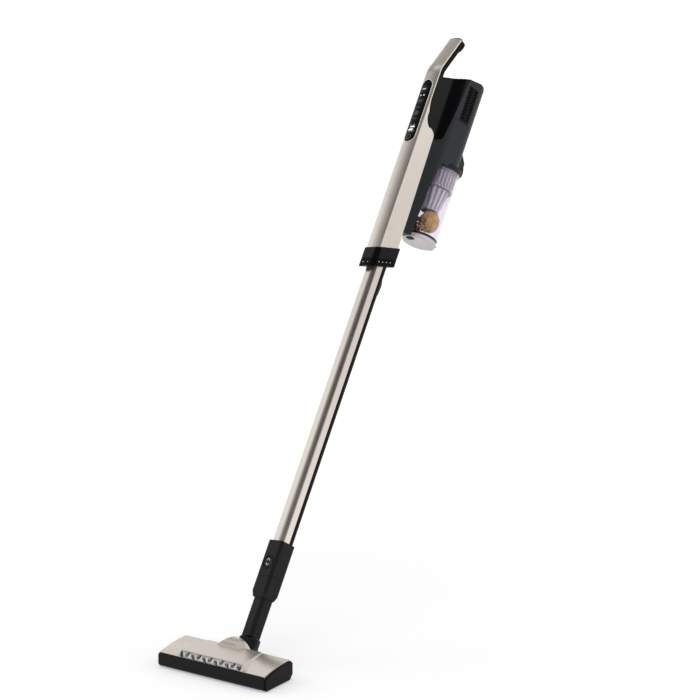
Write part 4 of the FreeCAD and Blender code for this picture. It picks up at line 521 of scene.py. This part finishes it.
def piece_of(name, shape, finish, body, smooth=True):
    """Piece made of a bmesh; it rides on a body."""
    mesh = bpy.data.meshes.new(name)
    shape.to_mesh(mesh)
    shape.free()
    mesh.materials.append(finish)
    mesh.polygons.foreach_set("use_smooth", [smooth] * len(mesh.polygons))
    obj = bpy.data.objects.new(name, mesh)
    scene.collection.objects.link(obj)
    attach(obj, body)
    print(name, "has", len(mesh.polygons), "faces")
    return obj


def new_piece(name, points, faces, finish, body, smooth=True):
    """Piece made of points and faces, which are all turned outward."""
    shape = bmesh.new()
    corners = [shape.verts.new(point) for point in points]
    for face in faces:
        shape.faces.new([corners[i] for i in face])
    bmesh.ops.recalc_face_normals(shape, faces=shape.faces)
    return piece_of(name, shape, finish, body, smooth)


def thicken(piece, thickness, offset):
    """Give a thin piece a thickness, in millimetres."""
    skin = piece.modifiers.new("skin", "SOLIDIFY")
    skin.thickness = thickness * MM
    skin.offset = offset


# %% [markdown]
# ## Studs on the collar
# Small bright studs stand in a row on the ribbed band, two in front and four on each side. Painted
# dots would look flat from the side, so each is a ball, half sunk into the band.

# %% Studs on the collar
STUD_RADIUS = 1.1
STUD_HEIGHT = 8.5
FRONT_STUDS = (-6.0, 6.0)
SIDE_STUDS = (-16.5, -8.0, 0.7, 9.3)
bright_rim = finish_material("bright_rim", (0.86, 0.84, 0.80), 0.12, metal=1.0, edge=0.0,
                             shade=0.01)
places = [(x, COLLAR_FRONT) for x in FRONT_STUDS]
places += [(side * COLLAR_HALF, y) for side in (-1, 1) for y in SIDE_STUDS]
shape = bmesh.new()
for x, y in places:
    z = STUD_HEIGHT - over_collar_edge(y, 0.0)
    for vertex in bmesh.ops.create_icosphere(shape, subdivisions=2, radius=STUD_RADIUS)["verts"]:
        vertex.co = on_stick(x + vertex.co.x, y + vertex.co.y, z + vertex.co.z)
piece_of("collar_studs", shape, bright_rim, "main_body")

# %% [markdown]
# ## Reflectors behind the head's window
# A row of small lamps lights the floor ahead. Each sits at the bottom of a slanted silver cell, and
# neighbouring cells lean opposite ways, so the row glitters as a zigzag. A striped material would
# not glitter, so the cells are real cups. The window's own front face gives the plane they hang
# behind.

# %% Plane of the window
SAME_PLANE = 0.999
glass = nodes["head_window"].data
# faces that look ahead and up
facing = [p for p in glass.polygons if p.normal.y < -0.5 and p.normal.z > 0.2]
OUTWARD = max(facing, key=lambda p: p.area).normal.copy()
UPHILL = OUTWARD.cross(Vector((1, 0, 0))).normalized()
front_points = [glass.vertices[i].co for p in facing for i in p.vertices
                if p.normal.dot(OUTWARD) > SAME_PLANE]
WINDOW = Vector([(min(c) + max(c)) / 2 for c in zip(*front_points)])
WINDOW_HALF = (max(p.x for p in front_points) - min(p.x for p in front_points)) / 2 / MM
WINDOW_RISE = max(abs((p - WINDOW).dot(UPHILL)) for p in front_points) / MM
print("window is", round(2 * WINDOW_HALF, 1), "by", round(2 * WINDOW_RISE, 1), "mm")


def behind_window(x, rise, depth):
    """A point across, up and behind the window's front, in millimetres from its middle."""
    return WINDOW + (Vector((x, 0, 0)) + UPHILL * rise - OUTWARD * depth) * MM


# %% The silver cells
CELLS = 10
CELL_MARGIN = 10.0
CELL_GAP = 0.75
CELL_RISE = 4.9
CELL_LEAN = 2.2
MOUTH_DEPTH, BOTTOM_DEPTH = 2.35, 4.8
BOTTOM_HALF, BOTTOM_RISE = 2.2, 1.7
CELL_PITCH = 2 * (WINDOW_HALF - CELL_MARGIN) / (CELLS - 1)
cell_middles = [CELL_PITCH * (i - (CELLS - 1) / 2) for i in range(CELLS)]
points, faces = [], []
for i, x in enumerate(cell_middles):
    lean = CELL_LEAN if i % 2 else -CELL_LEAN
    faces += faces_between(2, 4, len(points), ring=True)
    for half, high, depth in ((CELL_PITCH / 2 - CELL_GAP, CELL_RISE, MOUTH_DEPTH),
                              (BOTTOM_HALF, BOTTOM_RISE, BOTTOM_DEPTH)):
        for side, end in ((-1, -1), (1, -1), (1, 1), (-1, 1)):
            across = x + side * half + lean * end * high / CELL_RISE
            points.append(behind_window(across, end * high, depth))
cells = new_piece("window_reflectors", points, faces, silver, "floor_head", smooth=False)
thicken(cells, thickness=0.25, offset=-1.0)

# %% [markdown]
# ## Lamp domes
# A small clear dome closes each cell, as on real lamps. It is a quarter arc turned round the lamp's
# axis, flattened a little, with a flat back.

# %% Lamp domes
RINGS, SPOKES = 4, 14
LENS_HALF, LENS_RISE = 2.5, 1.9
LENS_DEPTH, LENS_HEIGHT = 4.9, 1.5
lens_clear = finish_material("lamp_lens", (0.30, 0.29, 0.31), 0.05, clear=0.6, shade=0.01, edge=0.0)
points, faces = [], []
for x in cell_middles:
    base = len(points)
    for ring in range(RINGS):
        angle = math.pi / 2 * ring / RINGS
        for spoke in range(SPOKES):
            turn = 2 * math.pi * spoke / SPOKES
            points.append(behind_window(x + LENS_HALF * math.cos(angle) * math.cos(turn),
                                        LENS_RISE * math.cos(angle) * math.sin(turn),
                                        LENS_DEPTH - LENS_HEIGHT * math.sin(angle)))
    top = len(points)
    points.append(behind_window(x, 0, LENS_DEPTH - LENS_HEIGHT))
    last = top - SPOKES
    faces += faces_between(RINGS, SPOKES, base, ring=True)
    faces += [(last + s, last + (s + 1) % SPOKES, top) for s in range(SPOKES)]
    faces.append(tuple(range(base, base + SPOKES)))
new_piece("lamp_domes", points, faces, lens_clear, "floor_head")

# %% [markdown]
# ## Edge of the window
# A thin bright edge frames the window at the top and the ends, where the cover's paint turns down
# into the opening. It is three flat bars, each just proud of the glass.

# %% Edge of the window
EDGE_OUT, EDGE_IN = 0.9, 0.2
FRONT_DEPTH, REAR_DEPTH = -0.15, 0.2
outer, inner = WINDOW_HALF + EDGE_OUT, WINDOW_HALF + EDGE_IN
top_low, top_high = WINDOW_RISE + EDGE_IN, WINDOW_RISE + EDGE_OUT
points, faces = [], []
for left, low, right, high in ((-outer, top_low, outer, top_high),
                               (inner, -WINDOW_RISE, outer, top_low),
                               (-outer, -WINDOW_RISE, -inner, top_low)):
    faces += faces_between(2, 4, len(points), ring=True, capped=True)
    for depth in (REAR_DEPTH, FRONT_DEPTH):
        for x, rise in ((left, low), (right, low), (right, high), (left, high)):
            points.append(behind_window(x, rise, depth))
new_piece("window_edge", points, faces, bright_rim, "floor_head", smooth=False)

# %% [markdown]
# ## Prints on the keys and the panel
# Plain marks are printed on the keys, and pale bars show the charge. A print has to follow the
# arched face. A drawn texture would blur from close by, so each flat outline is pressed back along
# the keys' own direction until it meets the surface, and then lifted by a paint's thickness. No
# words are printed.


# %% Helpers for prints
IN_FRONT = -70.0
PRINT_LIFT = 0.10
PRINT_THICKNESS = 0.08


def bar(x, z, width, height, steps=6):
    """Grid of points for a straight mark, with its faces."""
    points = [(x + width * (i / steps - 0.5), z + side * height / 2)
              for side in (-1, 1) for i in range(steps + 1)]
    return points, faces_between(2, steps + 1)


def hoop(x, z, radius, width, start=0.0, end=360.0, steps=28):
    """Flat ring, or part of one, with its faces."""
    turns = [math.radians(start + (end - start) * i / steps) for i in range(steps + 1)]
    points = [(x + r * math.sin(turn), z + r * math.cos(turn))
              for r in (radius - width / 2, radius + width / 2) for turn in turns]
    return points, faces_between(2, steps + 1)


def print_on(name, node, body, outlines, finish, lift=PRINT_LIFT):
    """Prints pressed onto a node's front face."""
    mesh = nodes[node].data
    surface = BVHTree.FromPolygons([v.co for v in mesh.vertices],
                                   [p.vertices for p in mesh.polygons])
    points, faces = [], []
    for flat, flat_faces in outlines:
        base = len(points)
        for x, z in flat:
            hit = surface.ray_cast(on_stick(x, IN_FRONT, z), BACK)[0]
            points.append(hit - BACK * lift * MM)
        faces += [tuple(base + i for i in face) for face in flat_faces]
    thicken(new_piece(name, points, faces, finish, body), PRINT_THICKNESS, offset=0.0)


def middle_height(node):
    low, high = along_stick(node)[2]
    return (low + high) / 2


# %% [markdown]
# ## Inks
# Printing ink is flat and a little chalky. The charge bars are lit from behind. Lamps inside the
# panel would need many more samples, so the bars get a weak glow of their own instead.

# %% Inks
print_white = finish_material("white_print", (0.80, 0.80, 0.80), 0.5, edge=0.0, shade=0.03)
print_grey = finish_material("grey_print", (0.30, 0.29, 0.29), 0.5, edge=0.0, shade=0.03)
print_amber = finish_material("amber_print", (0.16, 0.10, 0.07), 0.4, edge=0.0, shade=0.03)
# pale band round the panel: its colour is a painted highlight on the shell's edge
painted_edge_highlight = finish_material("painted_edge_highlight", (0.86, 0.83, 0.78), 0.5, edge=0.0, shade=0.02)
lit_white = finish_material("lit_lamp_bar", (0.85, 0.85, 0.84), 0.4, edge=0.0, shade=0.02)
lamp = next(n for n in lit_white.node_tree.nodes if n.type == "BSDF_PRINCIPLED")
lamp.inputs["Emission Color"].default_value = (0.90, 0.92, 0.95, 1)
lamp.inputs["Emission Strength"].default_value = 0.9
print("inks:", print_white.name, print_grey.name, print_amber.name)

# %% [markdown]
# ## Marks on the keys and the panel
# The high key has one broad bar, the standard key two small ones, and the off key the usual broken
# ring with its stroke. Between them the panel has dots and thin lines, then its charge bars, and an
# amber ring at its lower end. A bar is given by its place across and up, its width and its height;
# a hoop by its place, its radius and its width, all in millimetres.

# %% Marks on the keys and the panel
high_z, standard_z, off_z = [middle_height("button_" + key) for key in ("high", "standard", "off")]
lamp_z = middle_height("lamp_window")
panel_left, panel_right = along_stick("control_panel")[0]
panel_low, panel_high = along_stick("control_panel")[2]
print_on("mark_high", "button_high", "key_high", [bar(0, high_z, 8.0, 2.4)], print_white)
print_on("mark_standard", "button_standard", "key_standard",
         [bar(x, standard_z, 3.0, 1.3) for x in (-2.4, 2.4)], print_grey)
print_on("mark_off", "button_off", "key_off",
         [hoop(0, off_z, 2.7, 0.8, 35, 325), bar(0, off_z + 2.2, 0.8, 3.0)], print_grey)
print_on("panel_dots", "control_panel", "main_body",
         [hoop(x, (high_z + standard_z) / 2, 0.9, 1.7) for x in (-4.2, 3.6)], print_white)
print_on("panel_lines", "control_panel", "main_body",
         [bar(0, z, 9.0, 0.5) for z in ((standard_z + off_z) / 2, off_z - 11.0)], print_grey)
print_on("charge_bars", "lamp_window", "main_body",
         [bar(1.3, lamp_z + 3.4, 10.0, 2.4), bar(-1.3, lamp_z - 2.6, 10.0, 3.4)], lit_white)
print_on("panel_ring", "control_panel", "main_body", [hoop(0, panel_low + 9.5, 4.6, 1.1)],
         print_amber)

# %% [markdown]
# ## Painted highlight round the panel
# The shell's edge catches light where the panel sinks into it. That light is painted: a slim pale
# band laid on the shell, straight along the panel's sides and half round at its ends, is a painted
# highlight.

# %% Painted highlight round the panel
HIGHLIGHT_INNER, HIGHLIGHT_OUTER = 0.3, 1.6
HIGHLIGHT_LIFT = 0.12
HIGHLIGHT_STEPS = 64
panel_half = (panel_right - panel_left) / 2
outline = []
for reach in (panel_half + HIGHLIGHT_INNER, panel_half + HIGHLIGHT_OUTER):
    for step in range(HIGHLIGHT_STEPS):
        turn = 2 * math.pi * step / HIGHLIGHT_STEPS
        end = panel_high - panel_half if math.cos(turn) > 0 else panel_low + panel_half
        outline.append((math.sin(turn) * reach, end + math.cos(turn) * reach))
# the pale band is a painted highlight where the shell's edge meets the panel
print_on("panel_edge_highlight", "body_shell", "main_body",
         [(outline, faces_between(2, HIGHLIGHT_STEPS, ring=True))], painted_edge_highlight, HIGHLIGHT_LIFT)

# %% [markdown]
# ## Arrows on the release button
# Two chevrons on the round button point along the stick, as a plain sign for pulling it apart.

# %% Arrows on the release button
ARROW_HALF = 4.0
FOOT_LOW, FOOT_HIGH = 1.6, 3.4
POINT_LOW, POINT_HIGH = 5.2, 7.0
button_x, _, button_z = [(low + high) / 2 for low, high in along_stick("release_button")]
arrows = []
for side in (-1, 1):
    flat = [(button_x + x, button_z + side * z)
            for foot, point in ((FOOT_LOW, POINT_LOW), (FOOT_HIGH, POINT_HIGH))
            for x, z in ((-ARROW_HALF, foot), (0.0, point), (ARROW_HALF, foot))]
    arrows.append((flat, faces_between(2, 3)))
print_on("button_arrows", "release_button", "connector_button", arrows, print_white)

# %% [markdown]
# ## Edges beside the handle
# The champagne shell shows only a slim line along the side of the handle, because the soft grip and
# the polished core lap over its flanks. A cut in the shell would weaken it, and the maker laps the
# dark parts over it instead. Each lap is a thin band that follows the front of the handle: straight
# up the body, round the bend, and on to the tip.

# %% The line that the bands follow
PANEL_STANDS = 1.0
BEND_RISE = 146.5
BODY_FRONT = along_stick("control_panel")[1][0] + PANEL_STANDS
BODY_HALF = along_stick("body_shell")[0][1]
BEND_RADIUS = 60.0
BEND_ANGLE = math.radians(18.6)
BEND_LOW = panel_low + BEND_RISE
BEND_RUN = BEND_RADIUS * BEND_ANGLE
HANDLE_RUN = 68.0
GRIP_START = along_stick("handle_grip")[2][0] - BEND_LOW


def behind_front(run, depth):
    """Places back and up the stick, for a run along the handle's front and a depth behind it."""
    angle = min(max(run / BEND_RADIUS, 0.0), BEND_ANGLE)
    past = max(run - BEND_RUN, 0.0)
    y = BODY_FRONT + BEND_RADIUS * (1 - math.cos(angle)) + past * math.sin(angle)
    z = BEND_LOW + BEND_RADIUS * math.sin(angle) + past * math.cos(angle) + min(run, 0.0)
    return y + depth * math.cos(angle), z - depth * math.sin(angle)


print("the bend starts", round(BEND_LOW), "mm up the stick")


# %% The two bands
SUNK, PROUD = -0.2, 0.25
FRONT_EASE, REAR_EASE = 0.12, 0.1
LINE_DEPTH, SEAM_DEPTH = 7.2, 12.3
BAND_START = -80.0
TAPER_RUN = 26.0
LEAST_WIDTH = 0.3
GRIP_GAP, TIP_GAP = 0.4, 0.6
BAND_STEPS = 24


def side_band(name, stations, finish):
    """Slim raised band on both flanks; each station is a run with its front and rear depths."""
    points, faces = [], []
    for side in (-1, 1):
        faces += faces_between(len(stations), 4, len(points), capped=True)
        for run, front, rear in stations:
            for depth, proud in ((front, SUNK), (front + FRONT_EASE, PROUD),
                                 (rear - REAR_EASE, PROUD), (rear, SUNK)):
                y, z = behind_front(run, depth)
                points.append(on_stick(side * (BODY_HALF + proud), y, z))
    return new_piece(name, points, faces, finish, "main_body", smooth=False)


def runs_between(start, end):
    return [start + (end - start) * i / BAND_STEPS for i in range(BAND_STEPS + 1)]


core_stations = []
for run in runs_between(BAND_START, GRIP_START):
    share = min((run - BAND_START) / TAPER_RUN, 1.0)
    widest = SEAM_DEPTH - LEAST_WIDTH - LINE_DEPTH
    front = SEAM_DEPTH - LEAST_WIDTH - widest * math.sin(share * math.pi / 2)
    core_stations.append((run, front, SEAM_DEPTH))
side_band("core_edge", core_stations, gloss_black)
grip_runs = runs_between(GRIP_START + GRIP_GAP, BEND_RUN + HANDLE_RUN - TIP_GAP)
side_band("grip_edge", [(run, LINE_DEPTH, SEAM_DEPTH) for run in grip_runs], satin_black)

# %% [markdown]
# ## What the cup has caught
# A ball of tan fluff and a heap of crumbs lie in the cup. Real hair strands would cost far more
# than they show behind the clear wall, so the fluff is a sphere pushed in and out by noise, with
# loose fibres round it. Its finish is dull with a sheen, blotched from rust to straw by noise.

# %% Fluff finish
RUST = (0.72, 0.34, 0.10, 1)
STRAW = (1.0, 0.70, 0.25, 1)
fluff_finish, tree = new_material("tan_fluff")
place = add_node(tree, "ShaderNodeTexCoord").outputs["Object"]
blotch = add_node(tree, "ShaderNodeTexNoise", {"Vector": place, "Scale": 90.0, "Detail": 5.0})
ramp = add_node(tree, "ShaderNodeValToRGB", {"Fac": blotch.outputs["Fac"]})
for stop, position, colour in zip(ramp.color_ramp.elements, (0.30, 0.66), (RUST, STRAW)):
    stop.position = position
    stop.color = colour
hair = add_node(tree, "ShaderNodeTexNoise", {"Vector": place, "Scale": 1500.0})
bump = add_node(tree, "ShaderNodeBump",
                {"Strength": 0.9, "Distance": 0.6 * MM, "Height": hair.outputs["Fac"]})
show(tree, add_node(tree, "ShaderNodeBsdfPrincipled",
                    {"Base Color": ramp.outputs["Color"], "Roughness": 0.95, "Sheen Weight": 0.5,
                     "Normal": bump.outputs["Normal"]}))
print(fluff_finish.name, "has", len(tree.nodes), "nodes")

# %% Fluff ball
(cup_left, cup_right), (cup_front, cup_back), (cup_low, cup_top) = along_stick("cyclone")
CUP_X = (cup_left + cup_right) / 2
CUP_Y = (cup_front + cup_back) / 2
CUP_FLOOR = along_stick("cup_lid")[2][1]
BALL = 18.2
TALL = 1.14
LUMP_SCALE, LUMP_DEPTH = 1.6, 0.10
WISP_SCALE, WISP_DEPTH = 7.0, 0.045
WISP_SHIFT = Vector((3, 1, 2))
ball_centre = (CUP_X + 5.0, CUP_Y + 4.5, CUP_FLOOR + 33.0)


def from_ball(way):
    """Point off the middle of the ball, stretched along the stick."""
    x, y, z = ball_centre
    return on_stick(x + way.x, y + way.y, z + way.z * TALL)


shape = bmesh.new()
bmesh.ops.create_icosphere(shape, subdivisions=5, radius=1.0)
for vertex in shape.verts:
    way = vertex.co.normalized()
    lumps = noise.fractal(way * LUMP_SCALE, 1.0, 2.0, 2) * LUMP_DEPTH
    wisps = noise.fractal(way * WISP_SCALE + WISP_SHIFT, 0.8, 2.0, 3) * WISP_DEPTH
    vertex.co = from_ball(way * BALL * (1 + lumps + wisps))
piece_of("fluff_ball", shape, fluff_finish, "dust_cup")

# %% [markdown]
# ## Loose fibres
# Fibres curl off the ball. Each is a thin three-sided tube along a bent line, which is the fewest
# faces that still look round at this size. The bristles further on are made by the same helper.


# %% Fibres
ASKEW = Vector((0.3, 0.8, 0.5))
THINNING = 0.7


def fibre(points, faces, line, radius):
    """Three-sided tube along a line of points, tapering to its end."""
    faces += faces_between(len(line), 3, len(points), ring=True, capped=True)
    for i, centre in enumerate(line):
        ahead = line[min(i + 1, len(line) - 1)] - line[max(i - 1, 0)]
        side = ahead.cross(ASKEW).normalized()
        other = ahead.cross(side).normalized()
        thick = radius * (1 - THINNING * i / (len(line) - 1))
        for k in range(3):
            turn = 2 * math.pi * k / 3
            points.append(centre + (side * math.cos(turn) + other * math.sin(turn)) * thick)


FIBRES = 170
FIBRE_RADIUS = 0.16
JOINTS = 6
ROOT, STEP, SLOWING = 0.96, 0.035, 0.09
CURL = 0.11
dice = random.Random(7)
points, faces = [], []
for _ in range(FIBRES):
    way = Vector([dice.gauss(0, 1) for _ in range(3)]).normalized()
    drift = Vector([dice.gauss(0, 1) for _ in range(3)]).cross(way).normalized()
    line = []
    for i in range(JOINTS):
        reach = BALL * (ROOT + STEP * i * (1 - SLOWING * i))
        line.append(from_ball((way + drift * CURL * i).normalized() * reach))
    fibre(points, faces, line, FIBRE_RADIUS * MM)
new_piece("fluff_fibres", points, faces, fluff_finish, "dust_cup")

# %% [markdown]
# ## Crumbs
# The crumbs are small rough stones in four colours. A particle system would need baking and could
# fall through the lid, so each crumb is placed by dice in a heap at the front of the cup, kept
# inside its wall, stretched its own way and dented by noise.

# %% Crumbs
CRUMBS = {"rust": (44, 1.0, (0.30, 0.07, 0.03)), "bark": (34, 1.0, (0.07, 0.03, 0.022)),
          "cream": (32, 0.72, (0.80, 0.72, 0.62)), "sand": (16, 1.0, (0.55, 0.33, 0.16))}
HEAP_X, HEAP_Y = CUP_X + 2.0, CUP_Y - 18.5
SPREAD_X, SPREAD_Y = 7.6, 4.6
HEAP_LOW, HEAP_HEIGHT = 3.2, 30.0
HEAP_SLOPE = 0.3
WALL = 25.5
SIZES, STRETCHES = (1.3, 3.4), (0.6, 1.3)
DENT_SCALE, DENT_DEPTH = 1.4, 0.5
for name, (count, scale, colour) in CRUMBS.items():
    finish = finish_material("crumb_" + name, colour, 0.75, grain=0.8, grain_size=1400, shade=0.25,
                             edge=0.0)
    shape = bmesh.new()
    for _ in range(count):
        size = dice.uniform(*SIZES) * scale
        stretch = [dice.uniform(*STRETCHES) for _ in range(3)]
        spread = abs(dice.gauss(0, 1))
        x = HEAP_X + dice.gauss(0, SPREAD_X)
        y = HEAP_Y + dice.gauss(0, SPREAD_Y)
        inward = min(WALL / math.hypot(x - CUP_X, y - CUP_Y), 1.0)
        x, y = CUP_X + (x - CUP_X) * inward, CUP_Y + (y - CUP_Y) * inward
        rise = dice.uniform(0, 1) ** 1.2 * HEAP_HEIGHT * math.exp(-spread * HEAP_SLOPE)
        z = CUP_FLOOR + HEAP_LOW + rise
        seed = Vector([dice.uniform(0, 50) for _ in range(3)])
        for vertex in bmesh.ops.create_icosphere(shape, subdivisions=2, radius=1.0)["verts"]:
            way = vertex.co.normalized()
            rough = 1 + DENT_DEPTH * noise.noise(way * DENT_SCALE + seed)
            place = [c + w * s * size * rough for c, w, s in zip((x, y, z), way, stretch)]
            vertex.co = on_stick(*place)
    piece_of("crumbs_" + name, shape, finish, "dust_cup", smooth=False)
print("the cup holds a ball and", len(CRUMBS), "kinds of crumb")

# %% [markdown]
# ## Separator
# Pale ribs stand round the separator's drum, a row of small bright specks runs below them, and
# long ribs stripe the tube. Bump alone would vanish behind the clear wall, so they are bars that
# sit just proud of the moulding, each with eased sides.


# %% Separator
def round_cup(turn, radius, z):
    """Point at a turn round the cup's axis, in degrees from its front."""
    angle = math.radians(turn)
    return on_stick(CUP_X + radius * math.sin(angle), CUP_Y - radius * math.cos(angle), z)


RIB_SINK = -0.1
RIB_TOP = 0.7


def upright_ribs(name, finish, count, low, high, low_radius, high_radius, width, proud):
    """Raised ribs round the cup's axis, each a bar whose radius changes along its height."""
    points, faces = [], []
    for i in range(count):
        middle_turn = 360.0 * (i + 0.5) / count
        faces += faces_between(2, 4, len(points), ring=True, capped=True)
        for z, radius in ((low, low_radius), (high, high_radius)):
            half = math.degrees(width / 2 / radius)
            for turn, reach in ((-half, RIB_SINK), (-half * RIB_TOP, proud),
                                (half * RIB_TOP, proud), (half, RIB_SINK)):
                points.append(round_cup(middle_turn + turn, radius + reach, z))
    new_piece(name, points, faces, finish, "dust_cup", smooth=False)


DRUM_LOW, DRUM_HIGH = cup_top - 34.0, cup_top - 5.0
RING_LOW = cup_top - 38.0
DRUM = cup_right - CUP_X - 1.0
TUBE_LOW_RADIUS, TUBE_HIGH_RADIUS = 16.6, 24.3
pale_rib = finish_material("pale_rib", (0.90, 0.89, 0.93), 0.3, shade=0.03, edge=0.0)
speck = finish_material("bright_speck", (0.92, 0.91, 0.95), 0.25, shade=0.02, edge=0.0)
upright_ribs("drum_ribs", pale_rib, 26, low=DRUM_LOW, high=DRUM_HIGH, low_radius=DRUM,
             high_radius=DRUM, width=1.9, proud=0.35)
upright_ribs("tube_ribs", pale_rib, 14, low=cup_low + 1.0, high=RING_LOW - 1.0,
             low_radius=TUBE_LOW_RADIUS, high_radius=TUBE_HIGH_RADIUS, width=5.4, proud=0.4)
upright_ribs("ring_specks", speck, 30, low=RING_LOW + 0.6, high=RING_LOW + 3.4,
             low_radius=DRUM + 1.0, high_radius=DRUM + 1.0, width=3.2, proud=0.35)

# %% [markdown]
# ## Seal
# A dark violet seal shows through the edge of the milky lid. The true seal lies inside it, where
# the milk hides it, so a thin band round the lid stands for what shows.

# %% Seal
TURNS = 72
SEAL_PROUD = 0.15
SEAL_LOW, SEAL_HIGH = CUP_FLOOR - 5.4, CUP_FLOOR - 0.8
SEAL_EASE = 0.2
LID_RADIUS = along_stick("cup_lid")[0][1] - CUP_X
violet_seal = finish_material("violet_seal", (0.020, 0.016, 0.028), 0.35, grain=0.1)
points = [round_cup(360.0 * i / TURNS, radius, z)
          for z, radius in ((SEAL_LOW, LID_RADIUS), (SEAL_LOW + SEAL_EASE, LID_RADIUS + SEAL_PROUD),
                            (SEAL_HIGH - SEAL_EASE, LID_RADIUS + SEAL_PROUD),
                            (SEAL_HIGH, LID_RADIUS))
          for i in range(TURNS)]
new_piece("seal_band", points, faces_between(4, TURNS, ring=True), violet_seal, "cup_lid_body")

# %% [markdown]
# ## Bristles of the roll
# The roll's six chevrons are rows of soft tufts. The frame has them as solid fins, which mark the
# space they sweep. A fin with a striped finish would look like a blade, so here each fin becomes a
# low rubber strip with a close row of tapered bristles, and the six keep the same twist.

# %% Places along a chevron
CHEVRONS = 6
CHEVRON_TWIST = 50.0
BRISTLE_LENGTH = 4.0
roll_middle = Vector(joint["brush_spin"]["pos_m"]) / MM
fins_low, fins_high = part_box("brush_bristles")
FIN_HALF = (fins_high.x - fins_low.x) / 2 / MM
TIP_RADIUS = (fins_high.z - fins_low.z) / 2 / MM
CORE_RADIUS = TIP_RADIUS - BRISTLE_LENGTH


def on_roll(x, turn, radius):
    """Point at a turn round the roll's axis, in millimetres."""
    return Vector((x, roll_middle.y + radius * math.cos(turn),
                   roll_middle.z + radius * math.sin(turn))) * MM


def chevron_turn(row, x):
    return math.radians(360.0 / CHEVRONS * row + CHEVRON_TWIST * (1 - abs(x) / FIN_HALF))


print("bristles reach", round(TIP_RADIUS, 1), "mm from the roll's axis")

# %% Tufts
TUFTS = 112
BRISTLES = 5
ROW_END = 1.0
BRISTLE_RADIUS = 0.26
SINK = 0.3
ROOT_STRAY, ROOT_TURN = 0.5, 0.06
TIP_STRAY, TIP_TURN = 1.0, 0.11
WEAR = 0.5
bristle = finish_material("bristle_tufts", (0.24, 0.030, 0.028), 0.7, shade=0.25, sheen=0.3,
                          edge=0.0)
points, faces = [], []
for row in range(CHEVRONS):
    for i in range(TUFTS):
        x = -FIN_HALF + ROW_END + 2 * (FIN_HALF - ROW_END) * i / (TUFTS - 1)
        turn = chevron_turn(row, x)
        for _ in range(BRISTLES):
            start = on_roll(x + dice.uniform(-ROOT_STRAY, ROOT_STRAY),
                            turn + dice.uniform(-ROOT_TURN, ROOT_TURN), CORE_RADIUS - SINK)
            end = on_roll(x + dice.uniform(-TIP_STRAY, TIP_STRAY),
                          turn + dice.uniform(-TIP_TURN, TIP_TURN),
                          TIP_RADIUS - dice.uniform(0.0, WEAR))
            fibre(points, faces, [start, start.lerp(end, 0.5), end], BRISTLE_RADIUS * MM)
tufts = new_piece("roll_tufts", points, faces, bristle, "brush_roll")
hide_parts("brush_bristles")
print("roll has", CHEVRONS * TUFTS, "tufts")

# %% [markdown]
# ## Strips under the tufts
# Tufts are woven into a strip that slides into a groove of the roll. The strip is a low bar with
# sloping sides that follows the same chevron.

# %% Strips under the tufts
STEPS = 48
FOOT_TURN, FOOT_RADIUS = 0.17, CORE_RADIUS - SINK
TOP_TURN, TOP_RADIUS = 0.11, CORE_RADIUS + 0.7
points, faces = [], []
for row in range(CHEVRONS):
    faces += faces_between(STEPS + 1, 4, len(points), capped=True)
    for i in range(STEPS + 1):
        x = -FIN_HALF + 2 * FIN_HALF * i / STEPS
        turn = chevron_turn(row, x)
        for lean, radius in ((-FOOT_TURN, FOOT_RADIUS), (-TOP_TURN, TOP_RADIUS),
                             (TOP_TURN, TOP_RADIUS), (FOOT_TURN, FOOT_RADIUS)):
            points.append(on_roll(x, turn + lean, radius))
new_piece("roll_strips", points, faces, rubber, "brush_roll", smooth=False)
